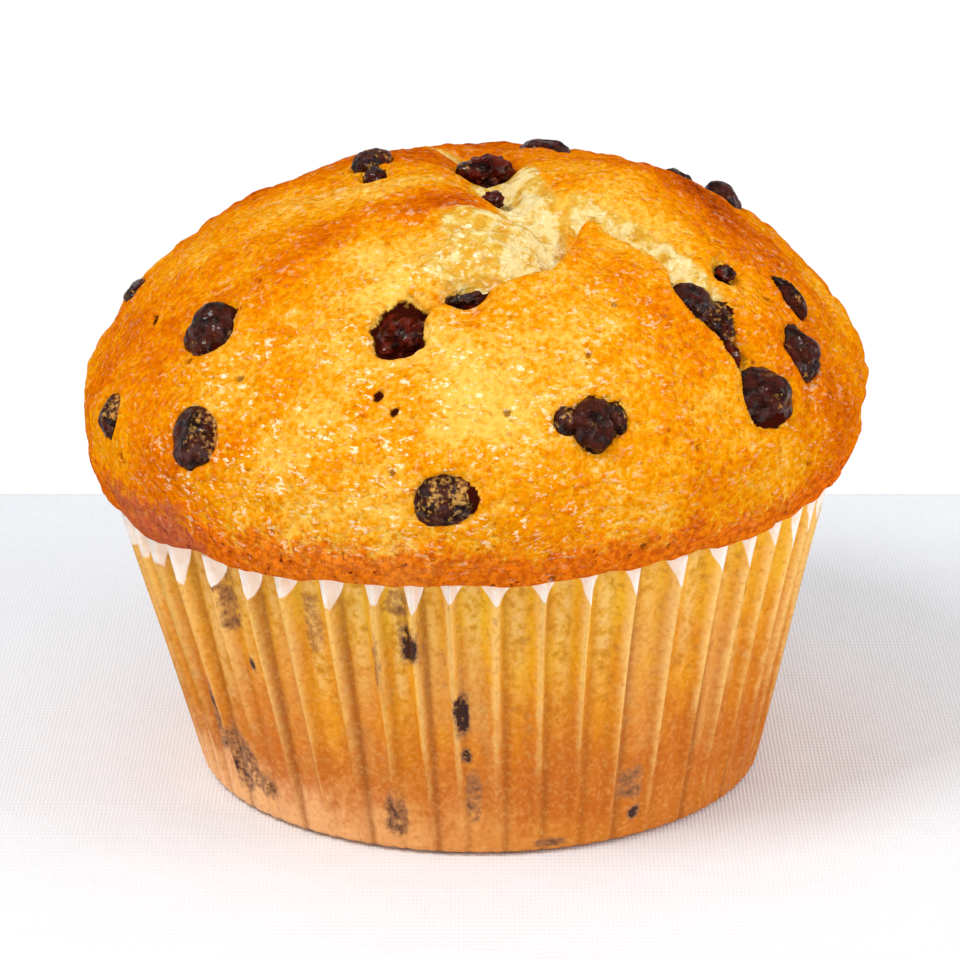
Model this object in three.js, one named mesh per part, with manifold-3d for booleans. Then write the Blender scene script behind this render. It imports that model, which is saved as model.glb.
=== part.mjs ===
// A chocolate-chip muffin in its fluted paper case, in millimetres.
// +Z is up, the case stands on z = 0, and the origin is the middle of the case's flat underside.
// A bearing is an angle round the muffin: 0 faces -Y, the front, and 90 faces +X.
// A climb is an angle up the dome: 0 is its widest line and 90 is its top.
import * as THREE from "three";
import { mergeVertices } from "three/addons/utils/BufferGeometryUtils.js";
import Module from "manifold-3d";

const wasm = await Module();
wasm.setup();
const { sin, cos, PI, exp, floor, hypot, round, max, min } = Math;
const RAD = PI / 180;

// ---------------------------------------------------------------- sizes
const DOME = { radius: 39, widestZ: 40.6, topZ: 62, roundness: 0.84, crown: 1.35 };
// The lip flows over the case's rim and curls out to the widest line: shares of the way out and up.
const LIP = { z: 31.2, tilt: 1.3, overhang: 0.5, curl: [[0, 0], [0.35, 0.07], [0.65, 0.3], [0.87, 0.62]] };
// The waist leans towards -X and the crown, between two heights, back towards +X.
const LEAN = { waist: 0.7, crown: 0.7, from: 40, to: 52 };
const FACET = { length: 3, ringShare: 0.92, mostClimb: 6, lastClimb: 88, fewest: 10 };

const CASE = {
  flutes: 50,
  contactRadius: 26.6, // the flat underside
  footRadius: 28.8, // where the wall leaves the foot
  footZ: 1,
  rimRadius: 36.5, // crests of the flutes at the rim
  thickness: 0.4,
  centreRadius: 9, // of the middle triangle of the flat underside
  innerShare: 0.75, // a ring that evens out the underside's triangles, as a share of its radius
};
const WALL_SHARES = [0, 0.35, 0.7, 1]; // the heights of the case's rings
const FLUTE = {
  footDepth: 0.35,
  rimDepth: 1.9,
  footHalfWidth: 0.12, // of a ridge, as a share of the pitch
  rimHalfWidth: 0.25,
  phase: 0.15, // of a pitch, so that a crest stands just beside the front
};
const GAP = 0.3; // between pieces that touch
const PRESSED = 0.3; // how far a side chip's middle lies under the dough's side
const DOUGH_ROWS = 3; // steps up the dough's wall
const RIB_FADE = 0.75; // the dough fills the ridges up to this share of the wall

// ---------------------------------------------------------------- the dome's relief
// Low mounds pushed up between the cracks: the middle, the reach along X and Y, and the height.
const MOUNDS = [
  { x: -6, y: -14, reachX: 8, reachY: 7, height: 1.2 },
  { x: 14, y: -2, reachX: 9, reachY: 9, height: 1.6 },
  { x: -11, y: 7, reachX: 8, reachY: 7, height: 0.8 },
  { x: 8, y: -27, reachX: 13, reachY: 7, height: 0.7 },
  { x: -2, y: 24, reachX: 12, reachY: 8, height: 0.9 },
];

const SWELL = { height: 0.35, waveX: 0.33, waveY: 0.29 }; // a slow unevenness all over, waves in rad/mm

// Open cracks: the points they pass, the half width and the depth at the middle.
const CRACKS = {
  spine: { halfWidth: 3.2, depth: 2.8, points: [[0, 2], [1.5, -4], [3.5, -10], [5, -16], [3, -22]] },
  right: {
    halfWidth: 2.9,
    depth: 2.3,
    points: [[3, -22], [8, -17.5], [13, -14.5], [18, -16.5], [21.5, -20], [24.5, -24]],
  },
  left: { halfWidth: 2.2, depth: 1.7, points: [[3, -22], [-1.5, -26], [-7, -28.5]] },
  leftBack: { halfWidth: 2.2, depth: 1.0, points: [[-23, 1], [-15, -2], [-7, -4]] },
  back: { halfWidth: 2.6, depth: 1.4, points: [[1, 5], [-4, 14], [-15, 19]] },
};
const CRACK_STEPS = 24;
const CRACK_ENDS = { depth: 0.45, rise: 2.2 }; // a crack is shallower at its ends

// Pits round chips that melted or sank.
const PITS = [
  { x: -7.5, y: -29, radius: 2.6, depth: 1.8 },
  { x: -1.5, y: -26.5, radius: 1.9, depth: 1.6 },
  { x: 24.2, y: -22.4, radius: 1.8, depth: 1.3 },
  { x: 1.6, y: 0.6, radius: 3, depth: 1 },
];

// ---------------------------------------------------------------- the chips
// On the dome: bearing and climb in degrees, half length and half width where it leaves the crust,
// the share of its half height that stands proud, and the turn of the long side.
const DOME_CHIPS = [
  { name: "chip_front_left", bearing: -51, climb: 36, across: [2.6, 2.4], proud: 0.4, turn: 20 },
  { name: "chip_lower_left", bearing: -43, climb: 9, across: [3.0, 2.0], proud: 0.3, turn: 80 },
  { name: "chip_left_edge", bearing: -67.5, climb: 6, across: [2.4, 1.8], proud: 0.2, turn: 90 },
  { name: "chip_left_upper", bearing: -84, climb: 33, across: [1.3, 1.1], proud: 0.2, turn: 0 },
  { name: "chip_melted", bearing: -14.5, climb: 43, across: [2.3, 2.0], proud: 0.4, turn: 60 },
  { name: "chip_crack_end", bearing: -3, climb: 51.5, across: [1.6, 1.0], proud: 0.4, turn: 0 },
  { name: "chip_front_low", bearing: -4, climb: 5, across: [2.5, 2.2], proud: 0.25, turn: 30 },
  { name: "chip_front_mid", bearing: 17, climb: 22, across: [2.4, 2.3], proud: 0.5, turn: 0 },
  { name: "chip_front_mid_left", bearing: 10.9, climb: 22, across: [0.9, 0.9], proud: 0.4, turn: 0 },
  { name: "chip_front_mid_right", bearing: 23.2, climb: 23.5, across: [1.0, 1.3], proud: 0.4, turn: 0 },
  { name: "chip_round", bearing: 47.8, climb: 20, across: [2.6, 2.6], proud: 0.55, turn: 0 },
  { name: "chip_pair_near", bearing: 45, climb: 43.5, across: [2.3, 1.7], proud: 0.45, turn: -40 },
  { name: "chip_pair_far", bearing: 51, climb: 38, across: [1.9, 1.1], proud: 0.35, turn: 60 },
  { name: "chip_crack_right", bearing: 46.5, climb: 31.5, across: [1.4, 0.9], proud: 0.4, turn: 70 },
  { name: "chip_right_spot", bearing: 60.5, climb: 47.5, across: [1.0, 0.8], proud: 0.4, turn: 0 },
  { name: "chip_right_upper", bearing: 72, climb: 36.5, across: [2.2, 1.3], proud: 0.4, turn: 70 },
  { name: "chip_right_lower", bearing: 62, climb: 26, across: [2.6, 1.8], proud: 0.4, turn: 65 },
  { name: "chip_ridge_right", bearing: 110, climb: 50, across: [2.3, 2.0], proud: 0.3, turn: 0 },
  { name: "chip_ridge_far", bearing: 121, climb: 56, across: [1.7, 1.6], proud: 0.3, turn: 0 },
  { name: "chip_top_right", bearing: 152, climb: 69, across: [2.6, 2.0], proud: 0.35, turn: 0 },
  { name: "chip_top_crack", bearing: 150, climb: 87, across: [2.4, 1.9], proud: 0.4, turn: 0 },
  { name: "chip_in_crack", bearing: 7, climb: 77, across: [1.1, 0.9], proud: 0.4, turn: 0 },
  { name: "chip_top_left", bearing: -118, climb: 71.5, across: [1.9, 1.5], proud: 0.3, turn: 0 },
  { name: "chip_top_left_near", bearing: -84, climb: 75.5, across: [1.2, 1.0], proud: 0.35, turn: 30 },
];

// Round the back the chips follow a rule: rows of a climb, with so many spread between two bearings.
const BACK_ROWS = [
  { climb: 8, count: 4, from: 105, to: 275 },
  { climb: 30, count: 4, from: 122, to: 266 },
  { climb: 50, count: 3, from: 155, to: 255 },
];
const BACK_CHIP = { across: 2.1, spread: 0.25, jitter: 9, climbJitter: 5, proud: 0.3 };
const CHIP_HEIGHT = 0.8; // of a half height to the mean half size across
const SMALL_CHIP = 2.4; // half length under which a chip has fewer faces

// Pressed flat on the dough's side, against the paper: bearing, height and half sizes.
const SIDE_CHIPS = [
  { name: "side_chip_upper", bearing: -10.5, z: 23.7, size: [1.5, 2.3, 1.6] },
  { name: "side_chip_middle", bearing: -2.5, z: 15.5, size: [1.4, 2.8, 1.6] },
  { name: "side_chip_foot_left", bearing: -51, z: 6.5, size: [2.0, 2.6, 1.5] },
  { name: "side_chip_foot_right", bearing: 30.5, z: 4.6, size: [1.6, 1.9, 1.5] },
];

// ---------------------------------------------------------------- the shape of the muffin
const ease = (t) => (t <= 0 ? 0 : t >= 1 ? 1 : t * t * (3 - 2 * t));
const lean = (z) => {
  const crown = LEAN.crown * ease((z - LEAN.from) / (LEAN.to - LEAN.from));
  return crown - LEAN.waist * sin(PI * min(max(z / DOME.topZ, 0), 1)) ** 2;
};
const lipZ = (bearing) => LIP.z + LIP.tilt * sin(bearing * RAD);
const place = (bearing, radius, z) =>
  new THREE.Vector3(radius * sin(bearing * RAD) + lean(z), -radius * cos(bearing * RAD), z);
const mix = (a, b, share) => a + (b - a) * share;

// A smooth curve through a crack's points, as a fine polyline in plan.
const crackLines = Object.values(CRACKS).map((crack) => {
  const curve = new THREE.CatmullRomCurve3(crack.points.map(([x, y]) => new THREE.Vector3(x, y, 0)));
  return { ...crack, line: curve.getSpacedPoints(CRACK_STEPS) };
});

// How far a crack's valley drops at a point in plan: a bell across, fading at both ends.
function valley(crack, x, y) {
  let best = { distance: Infinity, along: 0 };
  crack.line.forEach((point, index) => {
    const distance = hypot(point.x - x, point.y - y);
    if (distance < best.distance) best = { distance, along: index / CRACK_STEPS };
  });
  const fade = min(1, CRACK_ENDS.depth + CRACK_ENDS.rise * min(best.along, 1 - best.along));
  return crack.depth * fade * exp(-((best.distance / crack.halfWidth) ** 2));
}

// The height of the relief over the plain dome, along its normal.
function relief(x, y) {
  let height = SWELL.height * sin(SWELL.waveX * x + 1.1) * sin(SWELL.waveY * y + 0.4);
  for (const m of MOUNDS) {
    height += m.height * exp(-(((x - m.x) / m.reachX) ** 2) - ((y - m.y) / m.reachY) ** 2);
  }
  for (const pit of PITS) height -= pit.depth * exp(-((hypot(x - pit.x, y - pit.y) / pit.radius) ** 2));
  return height - max(...crackLines.map((crack) => valley(crack, x, y)));
}

// A muffin isn't round: how far it stands out at a bearing, fading towards the top.
const bulge = (bearing, climb) => {
  const b = bearing * RAD;
  return (0.6 * sin(b) ** 2 + 0.15 * sin(b) + 0.2 * sin(5 * b + 1)) * (1 - climb / 90) ** 2;
};

// The plain dome's radius and height at a climb, and the way its surface faces there.
function domeProfile(climb) {
  const a = min(max(climb, 0), 90) * RAD;
  const radius = DOME.radius * max(cos(a), 0) ** DOME.roundness;
  const z = DOME.widestZ + (DOME.topZ - DOME.widestZ) * sin(a) ** DOME.crown;
  return { radius: climb >= 90 ? 0 : radius, z };
}

function domeNormal(bearing, climb) {
  const low = domeProfile(max(climb - 2, 0));
  const high = domeProfile(min(climb + 2, 89.9));
  const out = new THREE.Vector2(high.z - low.z, low.radius - high.radius).normalize();
  return new THREE.Vector3(out.x * sin(bearing * RAD), -out.x * cos(bearing * RAD), out.y);
}

// How far the real surface stands off the plain dome.
function standOff(bearing, climb) {
  const { radius } = domeProfile(climb);
  return relief(radius * sin(bearing * RAD), -radius * cos(bearing * RAD)) + bulge(bearing, climb);
}

function domePoint(bearing, climb, above = 0) {
  const { radius, z } = domeProfile(climb);
  const raise = standOff(bearing, climb) + above;
  return place(bearing, radius, z).addScaledVector(domeNormal(bearing, climb), raise);
}

// The crests' radius on the paper's outside, at a share of the wall's height.
const crestRadius = (share) => mix(CASE.footRadius, CASE.rimRadius, share);
const wallZ = (bearing, share) => mix(CASE.footZ, lipZ(bearing) - GAP, share);

// ---------------------------------------------------------------- closed skins from rings
// A ring is a list of points with their bearings; rings with different counts are joined by angle.
const bearings = (count) => Array.from({ length: count }, (_, i) => (360 * i) / count);
const ringOf = (list, pointAt) => ({ angles: list, points: list.map(pointAt) });

// Three bearings for each flute: both feet of a ridge and its crest.
function fluteBearings(share) {
  const pitch = 360 / CASE.flutes;
  const half = mix(FLUTE.footHalfWidth, FLUTE.rimHalfWidth, share);
  return Array.from({ length: CASE.flutes }, (_, i) =>
    [-half, 0, half].map((offset) => (i + 0.5 + FLUTE.phase + offset) * pitch),
  ).flat();
}

function fluteRing(share, radiusAt, zAt) {
  const list = fluteBearings(share);
  return ringOf(list, (b, i) => place(b, radiusAt(i % 3 === 1), zAt(b)));
}

// Triangles between two rings, going round both by bearing.
function stitch(faces, a, b) {
  let [i, j] = [0, 0];
  const angle = (ring, k) => ring.angles[k % ring.angles.length] + 360 * floor(k / ring.angles.length);
  while (i < a.angles.length || j < b.angles.length) {
    const nextA = i < a.angles.length ? angle(a, i + 1) : Infinity;
    const nextB = j < b.angles.length ? angle(b, j + 1) : Infinity;
    const [a0, a1] = [a.points[i % a.points.length], a.points[(i + 1) % a.points.length]];
    const [b0, b1] = [b.points[j % b.points.length], b.points[(j + 1) % b.points.length]];
    if (nextA <= nextB) {
      faces.push(a0, a1, b0);
      i += 1;
    } else {
      faces.push(a0, b1, b0);
      j += 1;
    }
  }
}

function solidFromRings(rings) {
  const faces = [];
  const [first, last] = [rings[0], rings[rings.length - 1]];
  const total = ({ points }) => points.reduce((sum, p) => sum.add(p), new THREE.Vector3());
  const middle = (ring) => total(ring).divideScalar(ring.points.length);
  const after = ({ points }, i) => points[(i + 1) % points.length];
  if (first.points.length === 3) faces.push(first.points[2], first.points[1], first.points[0]);
  else first.points.forEach((p, i) => faces.push(middle(first), after(first, i), p));
  for (let k = 0; k < rings.length - 1; k += 1) stitch(faces, rings[k], rings[k + 1]);
  last.points.forEach((p, i) => faces.push(middle(last), p, after(last, i)));
  return toSolid(new THREE.BufferGeometry().setFromPoints(faces));
}

function toSolid(geometry) {
  geometry.deleteAttribute("normal");
  geometry.deleteAttribute("uv");
  const merged = mergeVertices(geometry, 1e-4);
  const triVerts = new Uint32Array(merged.index.array);
  const vertProperties = new Float32Array(merged.attributes.position.array);
  return new wasm.Manifold(new wasm.Mesh({ numProp: 3, vertProperties, triVerts }));
}

function toGeometry(solid) {
  const mesh = solid.getMesh();
  const geometry = new THREE.BufferGeometry();
  geometry.setAttribute("position", new THREE.BufferAttribute(new Float32Array(mesh.vertProperties), 3));
  geometry.setIndex(new THREE.BufferAttribute(new Uint32Array(mesh.triVerts), 1));
  geometry.computeVertexNormals();
  return geometry;
}

// The two rings of a flat foot: one part of the way out, one at its edge.
const footRings = (radius, z) => [
  ringOf(bearings(CASE.flutes / 2), (b) => place(b, radius * CASE.innerShare, z)),
  ringOf(bearings(CASE.flutes), (b) => place(b, radius, z)),
];

// ---------------------------------------------------------------- the sponge
// The dough inside the paper: a flat foot, then a wall with a low rib in each flute.
function bodyRings() {
  const inset = CASE.thickness + GAP;
  const rings = footRings(CASE.contactRadius - inset, inset);
  for (let k = 0; k <= DOUGH_ROWS; k += 1) {
    const share = k / DOUGH_ROWS;
    const depth = mix(FLUTE.footDepth, FLUTE.rimDepth, share);
    const rib = depth * max(0, 1 - (share / RIB_FADE) ** 2);
    const panel = crestRadius(share) - depth - inset;
    const radiusAt = (crest) => panel + (crest ? rib : 0);
    rings.push(fluteRing(share, radiusAt, (b) => mix(CASE.footZ + GAP, lipZ(b), share)));
  }
  return rings;
}

// The lip that flowed over the paper's rim, and its belly out to the widest line.
function lipRings() {
  const count = round((2 * PI * DOME.radius) / FACET.length);
  const start = CASE.rimRadius + LIP.overhang;
  return LIP.curl.map(([out, up]) =>
    ringOf(bearings(count), (b) =>
      place(b, mix(start, DOME.radius, out) + standOff(b, 0) * out, mix(lipZ(b), DOME.widestZ, up)),
    ),
  );
}

function domeRings() {
  const rings = [];
  let climb = 0;
  while (climb < FACET.lastClimb) {
    const here = domeProfile(climb);
    const ahead = domeProfile(climb + 1);
    const count = max(FACET.fewest, round((2 * PI * here.radius) / FACET.length));
    const at = climb;
    rings.push(ringOf(bearings(count), (b) => domePoint(b, at)));
    const perDegree = hypot(ahead.radius - here.radius, ahead.z - here.z);
    climb += min(FACET.mostClimb, (FACET.length * FACET.ringShare) / perDegree);
  }
  return rings;
}

// ---------------------------------------------------------------- the paper case
// A cup of even thickness: out along the underside, up the flutes, over the rim and back down inside.
function makeCase() {
  const wall = (share, inset) => {
    const depth = mix(FLUTE.footDepth, FLUTE.rimDepth, share);
    const crest = crestRadius(share) - inset;
    return fluteRing(share, (isCrest) => (isCrest ? crest : crest - depth), (b) => wallZ(b, share));
  };
  return solidFromRings([
    ringOf(bearings(3), (b) => place(b, CASE.centreRadius, 0)),
    ...footRings(CASE.contactRadius, 0),
    ...WALL_SHARES.map((share) => wall(share, 0)),
    ...WALL_SHARES.toReversed().map((share) => wall(share, CASE.thickness)),
    ...footRings(CASE.contactRadius - CASE.thickness, CASE.thickness).toReversed(),
  ]);
}

// ---------------------------------------------------------------- chips
// A lumpy drop: a geodesic ball pushed in and out by a few waves, then stretched to its half sizes.
function chipSolid(halfSizes, seed, frame) {
  const large = halfSizes[0] > SMALL_CHIP;
  const ball = large ? new THREE.IcosahedronGeometry(1, 1) : new THREE.OctahedronGeometry(1, 1);
  const corners = ball.attributes.position;
  for (let i = 0; i < corners.count; i += 1) {
    const v = new THREE.Vector3().fromBufferAttribute(corners, i);
    const wide = 0.09 * sin(3.1 * v.x + seed) * cos(2.7 * v.y - 2 * seed);
    const fine = 0.06 * sin(4.3 * v.z + 3 * seed);
    v.multiplyScalar(1 + wide + fine).multiply(new THREE.Vector3(...halfSizes)).applyMatrix4(frame);
    corners.setXYZ(i, v.x, v.y, v.z);
  }
  return toSolid(ball);
}

// A frame at a point: Z along the given normal, X turned by an angle from the way round the muffin.
function frameAt(point, normal, turn) {
  const side = new THREE.Vector3(0, 0, 1).cross(normal);
  side.normalize().applyAxisAngle(normal, turn * RAD);
  const across = new THREE.Vector3().crossVectors(normal, side);
  return new THREE.Matrix4().makeBasis(side, across, normal).setPosition(point);
}

const grown = (size) => size.map((half) => half + GAP);

// A chip is widest under the crust, so its ball is larger than what shows by as much as it is sunk.
function domeChip(chip, crust, seed) {
  const [length, width] = chip.across;
  const height = (CHIP_HEIGHT * (length + width)) / 2;
  const widening = 1 / (1 - (1 - chip.proud) ** 2) ** 0.5;
  const size = [length * widening, width * widening, height];
  const normal = domeNormal(chip.bearing, chip.climb);
  const outside = domePoint(chip.bearing, chip.climb, DOME.radius);
  const [hit] = new THREE.Raycaster(outside, normal.clone().negate()).intersectObject(crust);
  const middle = hit.point.addScaledVector(normal, -height * (1 - chip.proud));
  const frame = frameAt(middle, normal, chip.turn);
  return { name: chip.name, solid: chipSolid(size, seed, frame), pocket: chipSolid(grown(size), seed, frame) };
}

// A repeatable draw between -1 and 1 for the n-th chip.
const draw = (n) => {
  const s = sin(n * 127.1 + 311.7) * 43758.5453;
  return 2 * (s - floor(s)) - 1;
};

function backChips() {
  return BACK_ROWS.flatMap((row, r) =>
    Array.from({ length: row.count }, (_, i) => {
      const n = 10 * r + i;
      const half = BACK_CHIP.across * (1 + BACK_CHIP.spread * draw(n + 3));
      return {
        name: `chip_back_${r + 1}_${i + 1}`,
        bearing: mix(row.from, row.to, (i + 0.5) / row.count) + BACK_CHIP.jitter * draw(n),
        climb: row.climb + BACK_CHIP.climbJitter * draw(n + 7),
        across: [half, half * (0.85 + 0.1 * draw(n + 5))],
        proud: BACK_CHIP.proud * (1 + 0.4 * draw(n + 9)),
        turn: 90 * draw(n + 11),
      };
    }),
  );
}

// A chip that the paper pressed flat: what a ball shares with the dough's side.
function sideChip(chip, body, seed) {
  const share = (chip.z - CASE.footZ) / (LIP.z - CASE.footZ);
  const radius = crestRadius(share) - mix(FLUTE.footDepth, FLUTE.rimDepth, share) - CASE.thickness - GAP;
  const normal = new THREE.Vector3(sin(chip.bearing * RAD), -cos(chip.bearing * RAD), 0);
  const frame = frameAt(place(chip.bearing, radius - PRESSED, chip.z), normal, 0);
  return {
    name: chip.name,
    solid: chipSolid(chip.size, seed, frame).intersect(body),
    pocket: chipSolid(grown(chip.size), seed, frame),
  };
}

// ---------------------------------------------------------------- the model
const materials = {
  sponge: new THREE.MeshStandardMaterial({ color: 0xd98a2b, roughness: 0.6 }),
  paper: new THREE.MeshStandardMaterial({ color: 0xe0a24c, roughness: 0.5 }),
  chocolate: new THREE.MeshStandardMaterial({ color: 0x2e1611, roughness: 0.4 }),
};

const muffin = new THREE.Group();
function add(name, solid, material) {
  const mesh = new THREE.Mesh(toGeometry(solid), material);
  mesh.name = name;
  muffin.add(mesh);
}

const dough = solidFromRings([...bodyRings(), ...lipRings(), ...domeRings()]);
const crust = new THREE.Mesh(toGeometry(dough), materials.sponge);
const chips = [
  ...[...DOME_CHIPS, ...backChips()].map((chip, n) => domeChip(chip, crust, n + 1)),
  ...SIDE_CHIPS.map((chip, n) => sideChip(chip, dough, n + 1)),
];
const sponge = chips.reduce((rest, chip) => rest.subtract(chip.pocket), dough);

add("sponge", sponge, materials.sponge);
add("paper_case", makeCase(), materials.paper);
chips.forEach((chip) => add(chip.name, chip.solid, materials.chocolate));

export default muffin;
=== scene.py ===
"""A chocolate-chip muffin in its fluted paper case: surfaces, finishes, light and camera.

Sizes are in millimetres inside the shape classes and become metres when a mesh is made.
A bearing is an angle round the muffin in radians, 0 towards -Y, the front, and growing towards +X.
A climb is an angle up the dome in radians, 0 on its widest line and a quarter turn at its top.
"""

from __future__ import annotations

import logging
from dataclasses import dataclass
from enum import Enum
from functools import cached_property
from typing import Any, Mapping, Sequence

import bpy
import numpy as np
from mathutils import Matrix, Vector


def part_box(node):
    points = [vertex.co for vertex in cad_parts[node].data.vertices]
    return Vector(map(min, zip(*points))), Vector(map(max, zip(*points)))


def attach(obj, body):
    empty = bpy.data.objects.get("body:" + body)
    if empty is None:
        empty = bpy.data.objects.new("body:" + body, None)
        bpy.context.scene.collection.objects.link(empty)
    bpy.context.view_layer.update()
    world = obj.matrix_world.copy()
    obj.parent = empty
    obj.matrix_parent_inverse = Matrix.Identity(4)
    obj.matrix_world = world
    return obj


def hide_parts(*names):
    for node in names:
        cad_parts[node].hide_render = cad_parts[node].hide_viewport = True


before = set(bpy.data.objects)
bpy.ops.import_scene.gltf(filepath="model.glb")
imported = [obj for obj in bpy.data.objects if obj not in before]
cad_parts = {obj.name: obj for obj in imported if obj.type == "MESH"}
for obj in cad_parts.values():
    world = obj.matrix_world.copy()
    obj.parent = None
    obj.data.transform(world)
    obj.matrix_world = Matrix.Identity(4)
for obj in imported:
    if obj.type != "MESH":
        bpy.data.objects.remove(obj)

Array = np.ndarray
Colour = tuple[float, float, float, float]
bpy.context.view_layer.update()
MM = 0.001
BODY = "root"
LOG = logging.getLogger("muffin")


# ------------------------------------------------------------------ small maths
def mix(a: Any, b: Any, share: Any) -> Any:
    """The value a given share of the way from a to b."""
    return a + (b - a) * share


def held(value: Any) -> Any:
    """The value held between 0 and 1."""
    return np.clip(value, 0.0, 1.0)


def ease(value: Any, low: Any, high: Any) -> Any:
    """A smooth step: 0 up to low, 1 from high, and 3t^2 - 2t^3 between them."""
    t = held((value - low) / (high - low))
    return t * t * (3.0 - 2.0 * t)


def span(along: Array, rise: tuple[float, float], fall: tuple[float, float]) -> Array:
    """1 along the middle of a line: it eases in over the first two shares and out over the last two."""
    return ease(along, *rise) * (1.0 - ease(along, *fall))


def bell(distance: Any, reach: Any) -> Any:
    """A Gaussian bell: e to the minus square of distance over reach."""
    return np.exp(-((distance / reach) ** 2))


def srgb(red: int, green: int, blue: int) -> Colour:
    """A screen colour of 0 to 255 as the linear colour that shaders take.

    Args:
        red: its red, from 0 to 255.
        green: its green.
        blue: its blue.

    Returns:
        Red, green, blue and a full alpha.
    """
    parts = np.array([red, green, blue]) / 255.0
    linear = np.where(parts <= 0.04045, parts / 12.92, ((parts + 0.055) / 1.055) ** 2.4)
    return (*(float(part) for part in linear), 1.0)


@dataclass(frozen=True)
class Noise:
    """Repeatable smooth noise in space, from a seed."""

    seed: int

    def _corner(self, cell: Array) -> Array:
        """A pseudo-random number from 0 to 1 for each whole-number lattice cell: its numbers are hashed.

        Args:
            cell: whole-number cells, with x, y and z last.

        Returns:
            One number for each cell.
        """
        n = cell.astype(np.int64)
        mixed = n[..., 0] * 73856093 ^ n[..., 1] * 19349663 ^ n[..., 2] * 83492791 ^ self.seed * 2654435761
        mixed = (mixed ^ (mixed >> 13)) * 1274126177 & 0xFFFFFFFF
        mixed = (mixed ^ (mixed >> 16)) * 2246822519 & 0xFFFFFFFF
        return (mixed ^ (mixed >> 15)) / 0xFFFFFFFF

    def smooth(self, points: Array, wave: float) -> Array:
        """Value noise from -1 to 1: lattice corners a wave apart, blended with the quintic ease.

        Args:
            points: places, with x, y and z last.
            wave: the size of one lump, in the points' unit.

        Returns:
            One number for each point.
        """
        scaled = points / wave + 0.37 * self.seed
        cell = np.floor(scaled)
        t = scaled - cell
        w = t**3 * (t * (6.0 * t - 15.0) + 10.0)
        total = np.zeros(points.shape[:-1])
        for corner in np.ndindex(2, 2, 2):
            pick = np.array(corner)
            weight = np.prod(np.where(pick == 1, w, 1.0 - w), axis=-1)
            total += weight * self._corner(cell + pick)
        return 2.0 * total - 1.0

    def layered(self, points: Array, wave: float, layers: int) -> Array:
        """Smooth noise in layers, each with half the wave and about half the height of the one before.

        Args:
            points: places, with x, y and z last.
            wave: the size of the first layer's lumps.
            layers: how many layers.

        Returns:
            One number for each point, round 0.
        """
        total = np.zeros(points.shape[:-1])
        for layer in range(layers):
            part = Noise(self.seed + 17 * layer).smooth(points, wave / 2**layer)
            total += part * 0.55**layer
        return total

    def pores(self, points: Array, wave: float, share: float) -> Array:
        """How near each point is to a scattered pore: 1 in its middle, 0 from a third of a wave away.

        Each lattice cell holds one pore at a random place, and only the given share of the cells is used.

        Args:
            points: places, with x, y and z last.
            wave: the lattice's pitch.
            share: the share of the cells that hold a pore.

        Returns:
            One number for each point, from 0 to 1.
        """
        scaled = points / wave + 0.61 * self.seed
        cell = np.floor(scaled)
        nearest = np.full(points.shape[:-1], 9.0)
        for step in np.ndindex(3, 3, 3):
            there = cell + np.array(step) - 1.0
            place = np.stack([Noise(self.seed + k)._corner(there) for k in (1, 2, 3)], axis=-1)
            used = Noise(self.seed + 4)._corner(there) < share
            distance = np.linalg.norm(there + place - scaled, axis=-1)
            nearest = np.where(used, np.minimum(nearest, distance), nearest)
        return 1.0 - ease(nearest, 0.05, 0.33)


@dataclass(frozen=True)
class PlanLine:
    """A smooth line in plan, through a few given points in millimetres."""

    points: tuple[tuple[float, float], ...]
    steps: int = 6

    def path(self) -> Array:
        """Points along a Catmull-Rom curve: each span blends its two ends and their neighbours' slopes.

        Returns:
            The curve's points, one row each.
        """
        p = np.array([self.points[0], *self.points, self.points[-1]], float)
        t = np.linspace(0.0, 1.0, self.steps, endpoint=False)[:, None]
        spans = [
            0.5 * (2 * b + (c - a) * t + (2 * a - 5 * b + 4 * c - d) * t**2 + (3 * b - a - 3 * c + d) * t**3)
            for a, b, c, d in zip(p, p[1:], p[2:], p[3:])
        ]
        return np.vstack([*spans, p[-1:]])

    def measure(self, x: Array, y: Array) -> tuple[Array, Array]:
        """The signed distance to the line, positive on its right hand, and the share of the way along it.

        Args:
            x: the places' x in millimetres.
            y: their y.

        Returns:
            The distances, and the shares from 0 to 1.
        """
        path = self.path()
        best = np.full(x.shape, 1e9)
        side = np.ones(x.shape)
        along = np.zeros(x.shape)
        for k, (a, b) in enumerate(zip(path, path[1:])):
            way = b - a
            t = np.clip(((x - a[0]) * way[0] + (y - a[1]) * way[1]) / (way @ way), 0.0, 1.0)
            dx, dy = x - a[0] - t * way[0], y - a[1] - t * way[1]
            distance = np.hypot(dx, dy)
            nearer = distance < best
            best = np.where(nearer, distance, best)
            side = np.where(nearer, np.sign(dx * way[1] - dy * way[0] + 1e-12), side)
            along = np.where(nearer, (k + t) / (len(path) - 1), along)
        return best * side, along


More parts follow.
